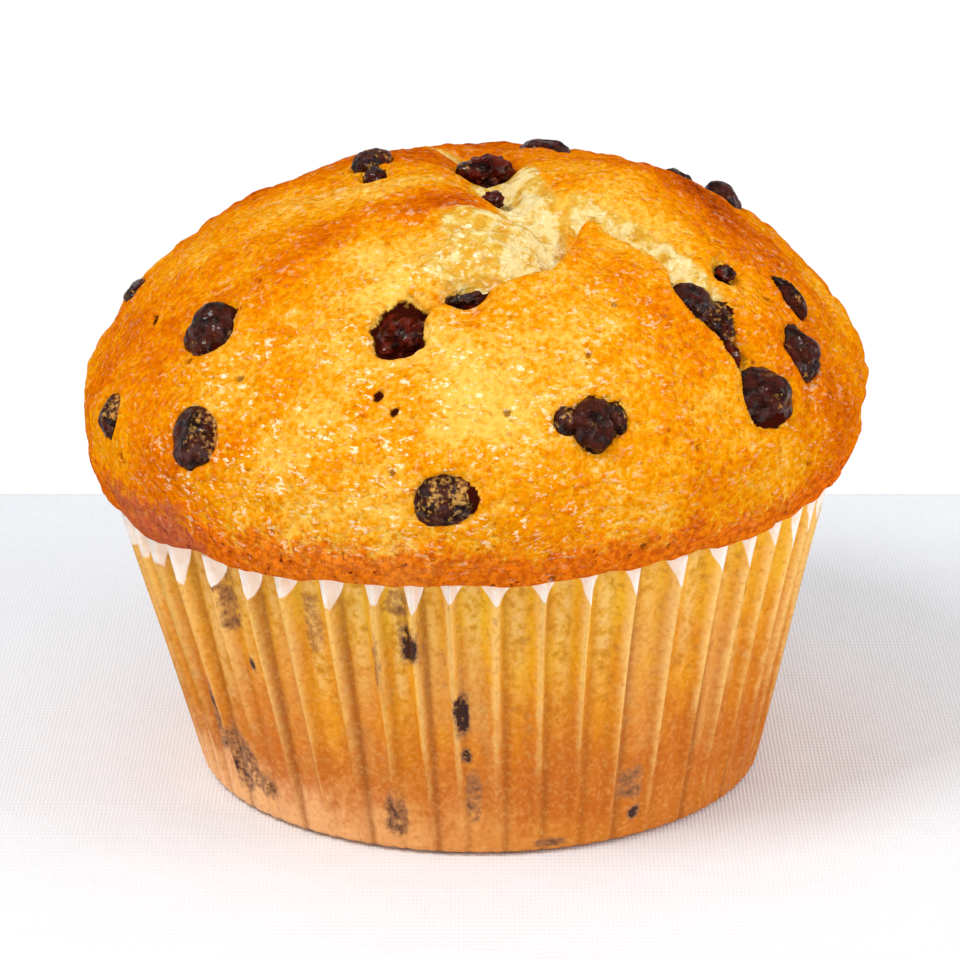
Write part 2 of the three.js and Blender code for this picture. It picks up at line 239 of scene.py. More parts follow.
# ------------------------------------------------------------------ the muffin's form
@dataclass(frozen=True)
class Form:
    """The muffin's main sizes: those of the solids, and how unevenly the pleats are spaced and lean."""

    dome_radius: float = 39.0
    widest_z: float = 40.6
    top_z: float = 62.0
    roundness: float = 0.84
    crown: float = 1.35
    lip_z: float = 31.2
    lip_tilt: float = 1.3
    lip_overhang: float = 0.5
    waist_lean: float = 0.7
    crown_lean: float = 0.7
    lean_from: float = 40.0
    lean_to: float = 52.0
    contact_radius: float = 26.6
    foot_radius: float = 28.8
    foot_z: float = 1.0
    rim_radius: float = 36.5
    flutes: int = 50
    foot_depth: float = 0.35
    rim_depth: float = 1.9
    foot_half_width: float = 0.12
    rim_half_width: float = 0.25
    flute_phase: float = 0.15
    # how far the round bulges: at both sides, at the right alone, and in five waves round it
    bulge_sides: float = 0.6
    bulge_right: float = 0.15
    bulge_waves: float = 0.2
    # how unevenly the pleats are spaced: each wave's size, count round the case and shift, in radians
    pleat_waves: tuple[tuple[float, float, float], ...] = ((0.022, 5.0, 0.6), (0.008, 13.0, 2.0))
    pleat_lean: float = 0.035
    pleat_lean_step: float = 1.7
    # how much the ridges differ in width, how wide each one's two sides are, and how far the panels bow
    ridge_spread: float = 0.16
    ridge_sides: tuple[float, float] = (1.2, 0.75)
    panel_bow: float = 0.11

    def lean(self, z: Array) -> Array:
        """The sideways shift at a height: the waist a little to -X, the crown back to +X."""
        waist = self.waist_lean * np.sin(np.pi * held(z / self.top_z)) ** 2
        return self.crown_lean * ease(z, self.lean_from, self.lean_to) - waist

    def lip_height(self, bearing: Array) -> Array:
        """The height of the lip's lower edge: level but for a tilt that lifts the right."""
        return self.lip_z + self.lip_tilt * np.sin(bearing)

    def place(self, bearing: Array, radius: Array, z: Array) -> Array:
        """Points at a bearing, a radius and a height, leaned."""
        bearing, radius, z = np.broadcast_arrays(bearing, radius, z)
        return np.stack([radius * np.sin(bearing) + self.lean(z), -radius * np.cos(bearing), z], axis=-1)

    def profile(self, climb: Array) -> tuple[Array, Array]:
        """The plain dome: its radius falls as a power of the cosine, its height grows as one of the sine.

        Args:
            climb: how far up the dome, in radians.

        Returns:
            The radius and the height.
        """
        radius = self.dome_radius * np.clip(np.cos(climb), 0.0, None) ** self.roundness
        z = self.widest_z + (self.top_z - self.widest_z) * np.clip(np.sin(climb), 0.0, None) ** self.crown
        return radius, z

    def normal(self, bearing: Array, climb: Array) -> Array:
        """The way the plain dome faces: square to the step between two near points of its profile.

        Args:
            bearing: the bearings.
            climb: the climbs.

        Returns:
            Directions of length 1, with x, y and z last.
        """
        step = np.radians(2.0)
        low = self.profile(np.clip(climb - step, 0.0, None))
        high = self.profile(np.clip(climb + step, None, np.radians(89.9)))
        out, up = high[1] - low[1], low[0] - high[0]
        size = np.hypot(out, up)
        out, up = np.broadcast_arrays(out / size, up / size)
        return np.stack([out * np.sin(bearing), -out * np.cos(bearing), up], axis=-1)

    def bulge(self, bearing: Array, climb: Array) -> Array:
        """How far the round is uneven: a few slow waves that fade towards the top.

        Args:
            bearing: the bearings.
            climb: the climbs.

        Returns:
            The bulge in millimetres.
        """
        side = np.sin(bearing)
        waves = self.bulge_sides * side**2 + self.bulge_right * side
        waves = waves + self.bulge_waves * np.sin(5.0 * bearing + 1.0)
        return waves * (1.0 - climb / (np.pi / 2)) ** 2

    def pleats(self, bearing: Array) -> Array:
        """The bearing counted in pleats, whole at each crest; some pleats are wider than others."""
        uneven = sum(size * np.sin(count * bearing + shift) for size, count, shift in self.pleat_waves)
        return (bearing + uneven) / (2.0 * np.pi) * self.flutes - 0.5 - self.flute_phase

    def flute(self, bearing: Array, share: Any) -> tuple[Array, Array]:
        """The nearest crest.

        Args:
            bearing: where it is asked for.
            share: how far up the paper's wall, from 0 to 1, since each crest leans a little its own way.

        Returns:
            Its whole number, and the distance to it in pitches, with the sign of its side.
        """
        turns = self.pleats(bearing)
        crest = np.round(turns)
        number = np.mod(crest, self.flutes)
        return number, turns - crest + self.pleat_lean * np.sin(number * self.pleat_lean_step) * share


FORM = Form()


@dataclass(frozen=True)
class Mound:
    """A rounded place on the crust: a rise, a hollow, or a patch of colour, or of gloss and painted glints.
    """

    x: float
    y: float
    reach_x: float
    reach_y: float
    height: float

    def at(self, x: Array, y: Array) -> Array:
        """The rise at a place: a Gaussian bell with its own reach each way."""
        off_x, off_y = (x - self.x) / self.reach_x, (y - self.y) / self.reach_y
        return self.height * np.exp(-(off_x**2) - off_y**2)


Row = tuple[float, float, float, float, float]


def mounds(*rows: Row) -> tuple[Mound, ...]:
    """Mounds from rows of x, y, the reach along each and the height."""
    return tuple(Mound(*row) for row in rows)


def heap(parts: Sequence[Mound], x: Array, y: Array) -> Array:
    """The mounds' rises added up."""
    return sum(part.at(x, y) for part in parts)


@dataclass(frozen=True)
class Crack:
    """An open crack: the line it follows, its half width and its depth."""

    line: PlanLine
    half_width: float
    depth: float
    end_depth: float = 0.45
    end_rise: float = 2.2

    def at(self, x: Array, y: Array) -> Array:
        """The drop at a place: a bell across the line, shallower at both ends.

        Args:
            x: the places' x in millimetres.
            y: their y.

        Returns:
            The drops in millimetres.
        """
        distance, along = self.line.measure(x, y)
        fade = np.minimum(1.0, self.end_depth + self.end_rise * np.minimum(along, 1.0 - along))
        return self.depth * fade * bell(distance, self.half_width)


@dataclass(frozen=True)
class Relief:
    """The dome's mounds, cracks and pits, as in the solids."""

    rises: tuple[Mound, ...] = mounds(
        (-6, -14, 8, 7, 1.2), (14, -2, 9, 9, 1.6), (-11, 7, 8, 7, 0.8), (8, -27, 13, 7, 0.7),
        (-2, 24, 12, 8, 0.9),
    )
    cracks: tuple[Crack, ...] = (
        Crack(PlanLine(((0, 2), (1.5, -4), (3.5, -10), (5, -16), (3, -22))), 3.2, 2.8),
        Crack(PlanLine(((3, -22), (8, -17.5), (13, -14.5), (18, -16.5), (21.5, -20), (24.5, -24))), 2.9, 2.3),
        Crack(PlanLine(((3, -22), (-1.5, -26), (-7, -28.5))), 2.2, 1.7),
        Crack(PlanLine(((-23, 1), (-15, -2), (-7, -4))), 2.2, 1.0),
        Crack(PlanLine(((1, 5), (-4, 14), (-15, 19))), 2.6, 1.4),
    )
    pits: tuple[Mound, ...] = mounds(
        (-7.5, -29, 2.6, 2.6, 1.8), (-1.5, -26.5, 1.9, 1.9, 1.6), (24.2, -22.4, 1.8, 1.8, 1.3),
        (1.6, 0.6, 3, 3, 1.0),
    )

    swell: float = 0.35

    def at(self, x: Array, y: Array, filled: Array) -> Array:
        """The height over the plain dome: slow swell, plus the mounds, less the pits and the deepest crack.

        Args:
            x: the places' x.
            y: their y.
            filled: how far the cracks are filled in there, from 0 to 1.

        Returns:
            The heights in millimetres.
        """
        swell = self.swell * np.sin(0.33 * x + 1.1) * np.sin(0.29 * y + 0.4)
        deepest = np.max([crack.at(x, y) for crack in self.cracks], axis=0)
        return swell + heap(self.rises, x, y) - heap(self.pits, x, y) - (1.0 - filled) * deepest


RELIEF = Relief()


# ------------------------------------------------------------------ meshes
def make_object(name: str, data: Any) -> Any:
    """An object that holds the data, linked into the scene.

    Args:
        name: its name.
        data: a mesh, a light or a camera.

    Returns:
        The Blender object.
    """
    made = bpy.data.objects.new(name, data)
    bpy.context.scene.collection.objects.link(made)
    return made


def make_piece(name: str, points: Array, faces: Sequence[Sequence[int]], marks: Mapping[str, Array]) -> Any:
    """A smooth mesh object at the origin.

    Args:
        name: the piece's name.
        points: corner places in millimetres, one row each.
        faces: the corners of each face, going round it as seen from outside.
        marks: numbers for each corner that its finish reads, by attribute name.

    Returns:
        The Blender object.
    """
    mesh = bpy.data.meshes.new(name)
    mesh.from_pydata((points * MM).tolist(), [], faces)
    for mark, values in marks.items():
        layer = mesh.attributes.new(mark, "FLOAT", "POINT")
        layer.data.foreach_set("value", np.asarray(values, np.float32).ravel())
    mesh.shade_smooth()
    return make_object(name, mesh)


def loop_quads(rows: int, columns: int, first: int = 0) -> Array:
    """Faces of a grid whose columns close into rings, rows going upwards and columns by growing bearing.

    Args:
        rows: how many rings.
        columns: how many corners in a ring.
        first: the number of the first ring's first corner.

    Returns:
        Four corner numbers for each face.
    """
    row, column = np.meshgrid(np.arange(rows - 1), np.arange(columns), indexing="ij")
    here = first + row * columns + column
    beside = first + row * columns + (column + 1) % columns
    return np.stack([here, beside, beside + columns, here + columns], axis=-1).reshape(-1, 4)


def fan(ring: Array, hub: int, upwards: bool) -> Array:
    """Triangles from a ring of corners to its hub, facing up or down.

    Args:
        ring: the ring's corner numbers.
        hub: the hub's.
        upwards: whether the triangles face up.

    Returns:
        Three corner numbers for each triangle.
    """
    after = np.roll(ring, -1)
    hubs = np.full(ring.shape, hub)
    return np.stack([ring, after, hubs] if upwards else [after, ring, hubs], axis=-1)


def rounded_ball(rows: int, columns: int) -> tuple[Array, list[list[int]]]:
    """Unit directions on rings between two poles, and the faces that join them.

    Args:
        rows: how many rings.
        columns: how many corners in a ring.

    Returns:
        The directions, and the corner numbers of each face.
    """
    climb = np.linspace(-np.pi / 2, np.pi / 2, rows + 2)[1:-1]
    turn = np.linspace(0.0, 2.0 * np.pi, columns, endpoint=False)
    up, round_ = np.meshgrid(climb, turn, indexing="ij")
    ring = np.stack([np.cos(up) * np.cos(round_), np.cos(up) * np.sin(round_), np.sin(up)], axis=-1)
    points = np.vstack([ring.reshape(-1, 3), [[0, 0, -1], [0, 0, 1]]])
    count = rows * columns
    bottom = np.arange(columns)
    top = bottom + (rows - 1) * columns
    faces = loop_quads(rows, columns).tolist()
    faces += fan(bottom, count, upwards=False).tolist() + fan(top, count + 1, upwards=True).tolist()
    return points, faces


# ------------------------------------------------------------------ the chips
class Chocolate(Enum):
    """How a chip came out of the oven."""

    FIRM = "firm"
    MELTED = "melted"


@dataclass(frozen=True)
class Chip:
    """A chocolate chip set into the crust, as its solid is."""

    node: str
    bearing: float
    climb: float
    across: tuple[float, float]
    proud: float
    turn: float
    dust: float = 0.25
    kind: Chocolate = Chocolate.FIRM
    dusty_way: tuple[float, float] = (0.0, 0.0)
    nudge: tuple[float, float] = (0.0, 0.0)
    sunk: float = 0.0
    broken: float = 0.0
    height_share: float = 0.8
    swollen: float = 1.2
    surroundings: float = 3.0

    def normal(self) -> Array:
        """The way the crust faces at the chip."""
        return FORM.normal(np.radians(self.bearing), np.radians(self.climb))

    def centre(self) -> Array:
        """The middle of the chip's solid, from its box, nudged right, up along the crust and inwards.

        Returns:
            The place in millimetres.
        """
        low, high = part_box(self.node)
        side, up = self.sideways()
        shift = self.nudge[0] * side + self.nudge[1] * up - self.sunk * self.normal()
        return (np.array(low) + np.array(high)) / (2 * MM) + shift

    def half_sizes(self) -> Array:
        """Half length, width and height: wider under the crust than where it leaves it.

        Returns:
            The three half sizes in millimetres.
        """
        length, width = self.across
        widening = 1.0 / (1.0 - ((1.0 - self.proud) / self.swollen) ** 2) ** 0.5
        return np.array([length * widening, width * widening, self.height_share * (length + width) / 2])

    def sideways(self) -> tuple[Array, Array]:
        """Two directions in the crust's plane at the chip: to its right, and up.

        Returns:
            The two directions, each of length 1.
        """
        normal = self.normal()
        side = np.cross([0.0, 0.0, 1.0], normal)
        side /= np.linalg.norm(side)
        return side, np.cross(normal, side)

    def axes(self) -> Array:
        """Three rows: along the chip, across it and out of the crust.

        Returns:
            The three directions, one row each.
        """
        normal = self.normal()
        side, across = self.sideways()
        turn = np.radians(self.turn)
        along = side * np.cos(turn) + across * np.sin(turn)
        return np.stack([along, np.cross(normal, along), normal])

    def turned_way(self) -> Array:
        """The side where batter dusts the chip, from right and up to the chip's own first two axes.

        Returns:
            The share along each of the two axes.
        """
        turn = np.radians(self.turn)
        right, up = self.dusty_way
        return np.array([right * np.cos(turn) + up * np.sin(turn), up * np.cos(turn) - right * np.sin(turn)])

    def reach(self, points: Array) -> Array:
        """How far points are from the chip's middle, where 1 is its outline at the crust's level.

        Args:
            points: places in millimetres, with x, y and z last.

        Returns:
            One number for each point.
        """
        local = (points - self.centre()) @ self.axes().T
        length, width = self.across
        return np.hypot(local[..., 0] / length, local[..., 1] / width)

    def near(self, points: Array) -> Array:
        """Which points are near enough to the chip to be shaped by it."""
        return np.linalg.norm(points - self.centre(), axis=-1) < self.surroundings * max(self.across)


@dataclass(frozen=True)
class Setting:
    """How the crust meets a chip: the groove round its outline, its raggedness and its stain."""

    ragged: float
    depth: float
    width: float
    level: float
    fade: float


SETTINGS = {
    Chocolate.FIRM: Setting(ragged=0.16, depth=0.32, width=0.5, level=1.0, fade=0.12),
    Chocolate.MELTED: Setting(ragged=0.5, depth=1.2, width=0.9, level=1.15, fade=0.35),
}


@dataclass(frozen=True)
class ChipBaker:
    """Makes the chips' own surfaces."""

    rows: int = 36
    columns: int = 52
    wave: float = 0.75
    roughness: float = 0.14
    melted_rougher: float = 2.6
    wide_wave: float = 0.09
    fine_wave: float = 0.06
    crater_depth: float = 0.16
    crater_wave: float = 0.8
    crater_share: float = 0.35
    broken_dent: float = 0.15
    least_level: float = 0.2

    def build(self, chip: Chip, number: int) -> Any:
        """A lumpy ball: unit directions pushed in and out by the solid's two waves, finer noise and craters.

        Batter dusts it near the crust, in patches and on one side.
        A broken chip is dented and crumbed on top.

        Args:
            chip: the chip to make.
            number: its place in the list, which seeds its lumps.

        Returns:
            The chip's object.
        """
        directions, faces = rounded_ball(self.rows, self.columns)
        x, y, z = directions.T
        wide = self.wide_wave * np.sin(3.1 * x + number) * np.cos(2.7 * y - 2 * number)
        fine = self.fine_wave * np.sin(4.3 * z + 3 * number)
        rough = self.roughness * (self.melted_rougher if chip.kind is Chocolate.MELTED else 1.0)
        lumps = rough * Noise(number).layered(directions, self.wave, 3)
        pores = Noise(number + 50).pores(directions, self.crater_wave, self.crater_share)
        dent = self.broken_dent * chip.broken * ease(z, 0.7, 0.95)
        size = 1.0 + wide + fine + lumps - self.crater_depth * pores - dent
        shape = directions * size[:, None]
        shape[:, 2] *= np.where(z > 0.0, chip.swollen, 1.0)
        points = (shape * chip.half_sizes()) @ chip.axes() + chip.centre()
        level = (size * z + (1.0 - chip.proud)) / max(chip.proud, self.least_level)
        way = directions @ np.array([*chip.turned_way(), 0.0])
        patchy = 0.4 * Noise(number + 9).layered(directions, 0.6, 2)
        rim = 0.2 * (1.0 - ease(level, -0.1, 0.7))
        crumbed = chip.broken * (1.6 * ease(level, 0.3, 0.95) - 0.7)
        dust = 0.5 * chip.dust + patchy + way + rim + crumbed - 0.1
        piece = make_piece("choc_" + chip.node, points, faces, {"dust": dust})
        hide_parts(chip.node)
        return piece


VISIBLE_CHIPS = (
    Chip("chip_front_left", -51, 36, (2.8, 2.7), 0.4, 20, 0.05, dusty_way=(0.3, -0.25), nudge=(-1.1, -0.2)),
    Chip("chip_lower_left", -43, 9, (2.5, 2.2), 0.3, 80, 0.2, dusty_way=(0.75, 0.15), nudge=(-0.3, 0.2)),
    Chip("chip_left_edge", -67.5, 6, (2.0, 1.5), 0.2, 90, 0.3, dusty_way=(0.6, 0.4), nudge=(2.8, -0.2)),
    Chip("chip_left_upper", -84, 33, (1.3, 1.1), 0.2, 0, 0.2, nudge=(-5, -1.6)),
    Chip("chip_melted", -14.5, 43, (2.2, 1.9), 0.4, 60, 0.0, Chocolate.MELTED, nudge=(-1.1, 0.9)),
    Chip("chip_crack_end", -3, 51.5, (1.5, 0.75), 0.4, 8, 0.1, Chocolate.MELTED, nudge=(-0.8, 1.1)),
    Chip(
        "chip_front_low", -4, 5, (2.7, 2.1), 0.25, 12, 0.1, dusty_way=(0.25, 0.05),
        nudge=(0.2, -1.1), broken=0.5,
    ),
    Chip("chip_front_mid", 17, 22, (2.0, 2.3), 0.5, 0, 0.0, dusty_way=(-0.2, -0.1), nudge=(-0.1, 0)),
    Chip("chip_front_mid_left", 10.9, 22, (1.0, 1.2), 0.4, 0, 0.4, nudge=(1, 0.6)),
    Chip("chip_front_mid_right", 23.2, 23.5, (0.95, 1.35), 0.4, 0, 0.3, nudge=(-2, -0.1)),
    Chip("chip_round", 47.8, 20, (2.9, 2.9), 0.55, 0, 0.1, nudge=(0.1, 0.2)),
    Chip("chip_pair_near", 45, 43.5, (2.3, 2.1), 0.45, -40, 0.1, dusty_way=(0.35, -0.2), nudge=(-0.2, 1.5)),
    Chip("chip_pair_far", 51, 38, (1.9, 1.1), 0.35, 60, 0.9, nudge=(-1.4, 1.5)),
    Chip("chip_crack_right", 46.5, 31.5, (1.3, 0.65), 0.4, 70, 0.1, Chocolate.MELTED, nudge=(0.1, 0.9)),
    Chip("chip_right_spot", 60.5, 47.5, (0.8, 0.75), 0.4, 0, 0.1, Chocolate.MELTED, nudge=(-1.6, 0.8)),
    Chip("chip_right_upper", 72, 36.5, (2.3, 0.85), 0.4, 70, 0.15, nudge=(-2.6, 1.1)),
    Chip("chip_right_lower", 62, 26, (2.6, 1.9), 0.4, 65, 0.2, nudge=(-0.9, 0.4)),
    Chip("chip_ridge_right", 110, 50, (2.3, 2.0), 0.35, 0, 0.3, nudge=(-1.5, 2)),
    Chip("chip_ridge_far", 121, 56, (1.7, 1.6), 0.4, 0, 0.3, nudge=(0.3, 1)),
    Chip("chip_top_right", 152, 69, (2.6, 2.0), 0.35, 0, 0.3, nudge=(1.7, 0.6), sunk=1.1),
    Chip("chip_top_crack", 150, 87, (2.0, 1.9), 0.45, 20, 0.1, Chocolate.MELTED, nudge=(0.5, 1.6)),
    Chip("chip_in_crack", 7, 77, (1.1, 0.9), 0.4, 0, 0.1, Chocolate.MELTED, nudge=(-0.6, 3.3)),
    Chip("chip_top_left", -118, 71.5, (1.9, 1.5), 0.3, 0, 0.6, nudge=(2.5, 3.2)),
    Chip("chip_top_left_near", -84, 75.5, (1.4, 1.2), 0.35, 30, 0.2, nudge=(-0.7, 1.1)),
)


@dataclass(frozen=True)
class BackChips:
    """The chips that follow a rule round the back: rows at a climb, spread between two bearings."""

    rows: tuple[tuple[float, int, float, float], ...] = (
        (8, 4, 105, 275), (30, 4, 122, 266), (50, 3, 155, 255)
    )
    across: float = 2.1
    spread: float = 0.25
    jitter: float = 9.0
    climb_jitter: float = 5.0
    proud: float = 0.3
    sunk: float = 0.3
    flat_side: float = 0.9

    @staticmethod
    def draw(number: float) -> float:
        """A repeatable draw between -1 and 1: the fraction of a large sine."""
        s = np.sin(number * 127.1 + 311.7) * 43758.5453
        return float(2.0 * (s - np.floor(s)) - 1.0)

    def chips(self) -> list[Chip]:
        """The chips of every row.

        Returns:
            The chips, row by row.
        """
        made = []
        for row, (climb, count, start, end) in enumerate(self.rows):
            for i in range(count):
                n = 10 * row + i
                middle = mix(start, end, (i + 0.5) / count)
                half = self.across * (1.0 + self.spread * self.draw(n + 3))
                made.append(
                    Chip(
                        node=f"chip_back_{row + 1}_{i + 1}",
                        bearing=middle + self.jitter * self.draw(n),
                        climb=climb + self.climb_jitter * self.draw(n + 7),
                        across=(half, half * (0.85 + 0.1 * self.draw(n + 5))),
                        proud=self.proud * (1.0 + 0.4 * self.draw(n + 9)),
                        turn=90.0 * self.draw(n + 11),
                        dust=0.25 + 0.25 * self.draw(n + 13),
                        sunk=self.sunk + self.flat_side * max(0.0, -np.sin(np.radians(middle))),
                    )
                )
        return made


# ------------------------------------------------------------------ the sponge
@dataclass
class Sponge:
    """The baked muffin: crust, torn crumb, and the dough's wall hidden in the case."""

    chips: Sequence[Chip]
    # how finely its surface and its profile are divided
    grid: int = 292
    wall_rows: int = 6
    climb_steps: int = 240
    fall_steps: int = 60
    # the lip's curl, the dough's gaps to the paper and to the lip, and its underside
    lip_curve: float = 0.6
    case_gap: float = 0.35
    lip_gap: float = 0.25
    floor_z: float = 0.45
    # how ragged the lip's edge is, how rough the lip, and how far the cracks and patches stray
    raggedness: float = 0.38
    lip_roughness: float = 0.22
    stray: float = 0.55
    # the front slab's broken edge: its raised lip and the step behind it
    slab_lip: float = 0.3
    slab_step: float = 0.9
    # pinpricks, creases, and the pores of the open crumb and of the closed crust
    prick_depth: float = 0.7
    crease_depth: float = 0.55
    pore_wave: float = 2.1
    open_share: float = 0.75
    open_depth: float = 0.3
    closed_share: float = 0.1
    closed_depth: float = 0.48
    # the plum stain on the lip, and the flatter left shoulder
    plum_bearing: float = -0.95
    shoulder_bearing: float = -1.85
    shoulder_climb: float = 0.28
    shoulder_reach: float = 0.2
    shoulder_drop: float = 1.1
    # how brown the plain crust, the low flanks and the back are, how far it drifts, and the
    # millimetres that a radian of climb counts for in the drift
    golden: float = 0.25
    brown_flank: float = 0.16
    brown_back: float = 0.2
    brown_drift: float = 0.14
    climb_length: float = 20.0
    slab_edge: PlanLine = PlanLine(
        (
            (-9.5, -28.5), (-6, -27.8), (-3, -26.2), (-0.5, -25), (1.5, -24.8), (3.5, -24.4), (5.5, -23.2),
            (7.4, -21.2), (8.8, -18.4), (9.6, -15.8), (10.9, -13.8), (12.6, -15), (14.6, -16.4),
            (16.7, -17.2), (18.2, -19.2), (18.9, -21.6), (20.7, -23.4), (23.3, -23.8), (24.9, -25.6),
            (26, -28),
        )
    )
    # torn places: the line, its half width, and how bare the crumb is
    torn: tuple[tuple[PlanLine, float, float], ...] = (
        (PlanLine(((1.8, 1), (2.9, -5), (4.4, -10), (5.8, -15), (5, -19), (3, -21.5), (0.3, -23))), 3.1, 1.0),
        (PlanLine(((8, -11), (12, -12.8), (16, -14.6), (19.3, -16.8), (21.5, -19.5), (22.5, -22))), 2.2, 0.9),
        (PlanLine(((-0.5, -14), (-0.6, -20), (-1.6, -22.5), (-4.2, -25.5))), 3.9, 0.68),
        (PlanLine(((-23, 1.5), (-17, -1.5), (-11, -3.5), (-4, -6), (1, -7))), 1.4, 0.25),
        (PlanLine(((1, 5), (-4, 14), (-15, 19))), 2.4, 0.6),
    )
    lumps: tuple[Mound, ...] = mounds(
        (-8, 4, 4, 4, 0.5), (-1, 9, 2.2, 9, -1.6), (3.5, 6, 2, 3, 0.3), (-20, -5, 4, 3, 0.35),
        (-17, 3, 6, 5, -0.7), (4, 12, 26, 13, -0.55), (29, -1, 6, 8, -0.6), (35, -3, 3.5, 14, -0.6),
        (10, -37, 4, 1.4, -0.4),
    )
    pinholes: tuple[Mound, ...] = mounds(
        (-9.4, -33.6, 0.6, 0.4, 0.9), (-8, -34.8, 0.5, 0.35, 0.7), (-13.8, -33.3, 0.4, 0.3, 0.4),
        (-28.9, 0.3, 0.5, 0.5, 0.8), (-31.4, -12.3, 0.4, 0.8, 0.6), (9.6, -31.5, 0.5, 0.4, 0.4),
        (4.4, -31.5, 0.5, 0.4, 0.4),
    )
    # glossy patches: they set where the coat goes and where painted highlight glints go into the crust's
    # colour
    glossy_painted_glint_patches: tuple[Mound, ...] = mounds(
        (-13, -33, 12, 8, 1.0), (-3, -22, 6, 5, 0.8), (-24, -28, 7, 7, 0.6), (3, -36, 10, 6, 0.8),
        (4, -12, 6, 9, 0.5), (14, -26, 8, 6, 0.35), (28, -18, 6, 10, 0.35), (-14, -6, 8, 6, 0.3),
    )
    browned: tuple[Mound, ...] = mounds(
        (-3.8, -12.8, 4.5, 3.0, 0.52), (-1.0, -15.0, 2.5, 2.5, 0.25), (-14, -13.5, 5, 3, 0.28),
        (-17, -18, 5, 4, 0.2), (-24, -10, 7, 9, 0.16), (-30, -16, 6, 9, 0.1),
        (15, 1.5, 8, 3.5, 0.4), (23, -1, 6, 6, 0.35), (28, -8, 6, 7, 0.24), (33, -16, 5, 8, 0.06),
        (-8, 4, 7, 4, 0.2), (5, 22, 10, 8, 0.4), (-18, 16, 9, 8, 0.4), (-7, -31, 12, 6, -0.1),
        (-3, -35, 9, 4, -0.14), (13, -12, 8, 4, -0.15), (-6, -22, 8, 5, -0.06),
        (16, -24, 7, 5, 0.06),
    )

    def stations(self) -> tuple[Array, Array, Array]:
        """The meridian as a table: length from the top, climb and fall below the widest line from 0 to 1.

        Returns:
            The three columns of the table.
        """
        climb = np.radians(np.linspace(90.0, 0.0, self.climb_steps))
        fall = np.linspace(0.0, 1.0, self.fall_steps)
        radius, z = FORM.profile(climb)
        below_radius, below_z = self.lip_profile(fall, FORM.lip_z)
        r = np.concatenate([radius, below_radius[1:]])
        h = np.concatenate([z, below_z[1:]])
        length = np.concatenate([[0.0], np.cumsum(np.hypot(np.diff(r), np.diff(h)))])
        return length, np.concatenate([climb, 0.0 * fall[1:]]), np.concatenate([0.0 * climb, fall[1:]])

    def lip_profile(self, fall: Array, lip_z: Array) -> tuple[Array, Array]:
        """Under the widest line: in along a rounded curl, then to the edge.

        The curl goes in as 1 less the squared fall, to a power.

        Args:
            fall: how far down the lip, from 0 to 1.
            lip_z: the height of its lower edge.

        Returns:
            The radius and the height.
        """
        start = FORM.rim_radius + FORM.lip_overhang
        out = held(1.0 - fall**2) ** self.lip_curve
        return mix(start, FORM.dome_radius, out), mix(FORM.widest_z, lip_z, fall)

    def disc(self) -> tuple[Array, Array]:
        """The top's grid points: a square grid wound onto a disc, so that no corner is a pole.

        Returns:
            The distance from the middle, from 0 to 1, and the bearing of each grid point.
        """
        line = np.linspace(-1.0, 1.0, self.grid + 1)
        u, v = np.meshgrid(line, line, indexing="ij")
        wide = np.abs(u) > np.abs(v)
        reach = np.where(wide, u, v)
        safe_u = np.where(u == 0.0, 1.0, u)
        safe_v = np.where(v == 0.0, 1.0, v)
        angle = np.where(wide, np.pi / 4 * v / safe_u, np.pi / 2 - np.pi / 4 * u / safe_v)
        angle = np.where(reach < 0.0, angle + np.pi, angle)
        return np.abs(reach), np.mod(angle + np.pi / 2, 2.0 * np.pi)

    def crust(self, share: Array, bearing: Array) -> tuple[Array, dict[str, Array]]:
        """The top's points: the leaned dome and lip, raised along the normal by the relief, then grain.

        Args:
            share: how far down the meridian each point lies, 0 at the top and 1 under the lip.
            bearing: the bearing of each point.

        Returns:
            The points and the marks that the finish reads.
        """
        length, climbs, falls = self.stations()
        down = share * length[-1]
        climb = np.interp(down, length, climbs)
        fall = np.interp(down, length, falls)
        dome_radius, dome_z = FORM.profile(climb)
        ring = 38.0 * np.stack([np.sin(bearing), -np.cos(bearing), np.zeros_like(bearing)], axis=-1)
        uneven = self.raggedness * Noise(12).layered(ring, 6.0, 3)
        lip_radius, lip_z = self.lip_profile(fall, FORM.lip_height(bearing) + uneven)
        on_lip = fall > 0.0
        radius = np.where(on_lip, lip_radius, dome_radius)
        z = np.where(on_lip, lip_z, dome_z)
        base = FORM.place(bearing, radius, z)
        normal = FORM.normal(bearing, climb)
        x, y = base[..., 0], base[..., 1]
        hold = held(1.0 - fall**2)
        wander = self.stray * np.stack([Noise(k).layered(base, 3.0, 2) for k in (21, 22)], axis=-1)
        wx, wy = x + wander[..., 0], y + wander[..., 1]
        on_slab, skinned = self.on_slab(wx, wy)
        torn = self.torn_crumb(wx, wy) * (1.0 - skinned)
        relief = RELIEF.at(wx, wy, mix(0.35, 0.95, on_slab)) + FORM.bulge(bearing, climb)
        relief += self.slab(wx, wy) * self.clear_of_chips(base + normal * relief[..., None])
        relief += heap(self.lumps, x, y) - self.left_shoulder(bearing, climb)
        grain, painted_pore_shade = self.grain(base, torn, bearing, climb)
        front = np.cos(bearing) > 0.0
        pricked = heap(self.pinholes, x, y) * front * (fall < 0.5)
        sockets, stain = self.sockets(base + normal * relief[..., None])
        coarse = self.lip_roughness * ease(fall, 0.05, 0.5) * Noise(13).layered(base, 1.9, 2)
        calm = 1.0 - 0.6 * ease(fall, 0.85, 1.0)
        lift = relief * hold + (grain + coarse) * calm + sockets - self.prick_depth * pricked
        points = base + normal * lift[..., None]
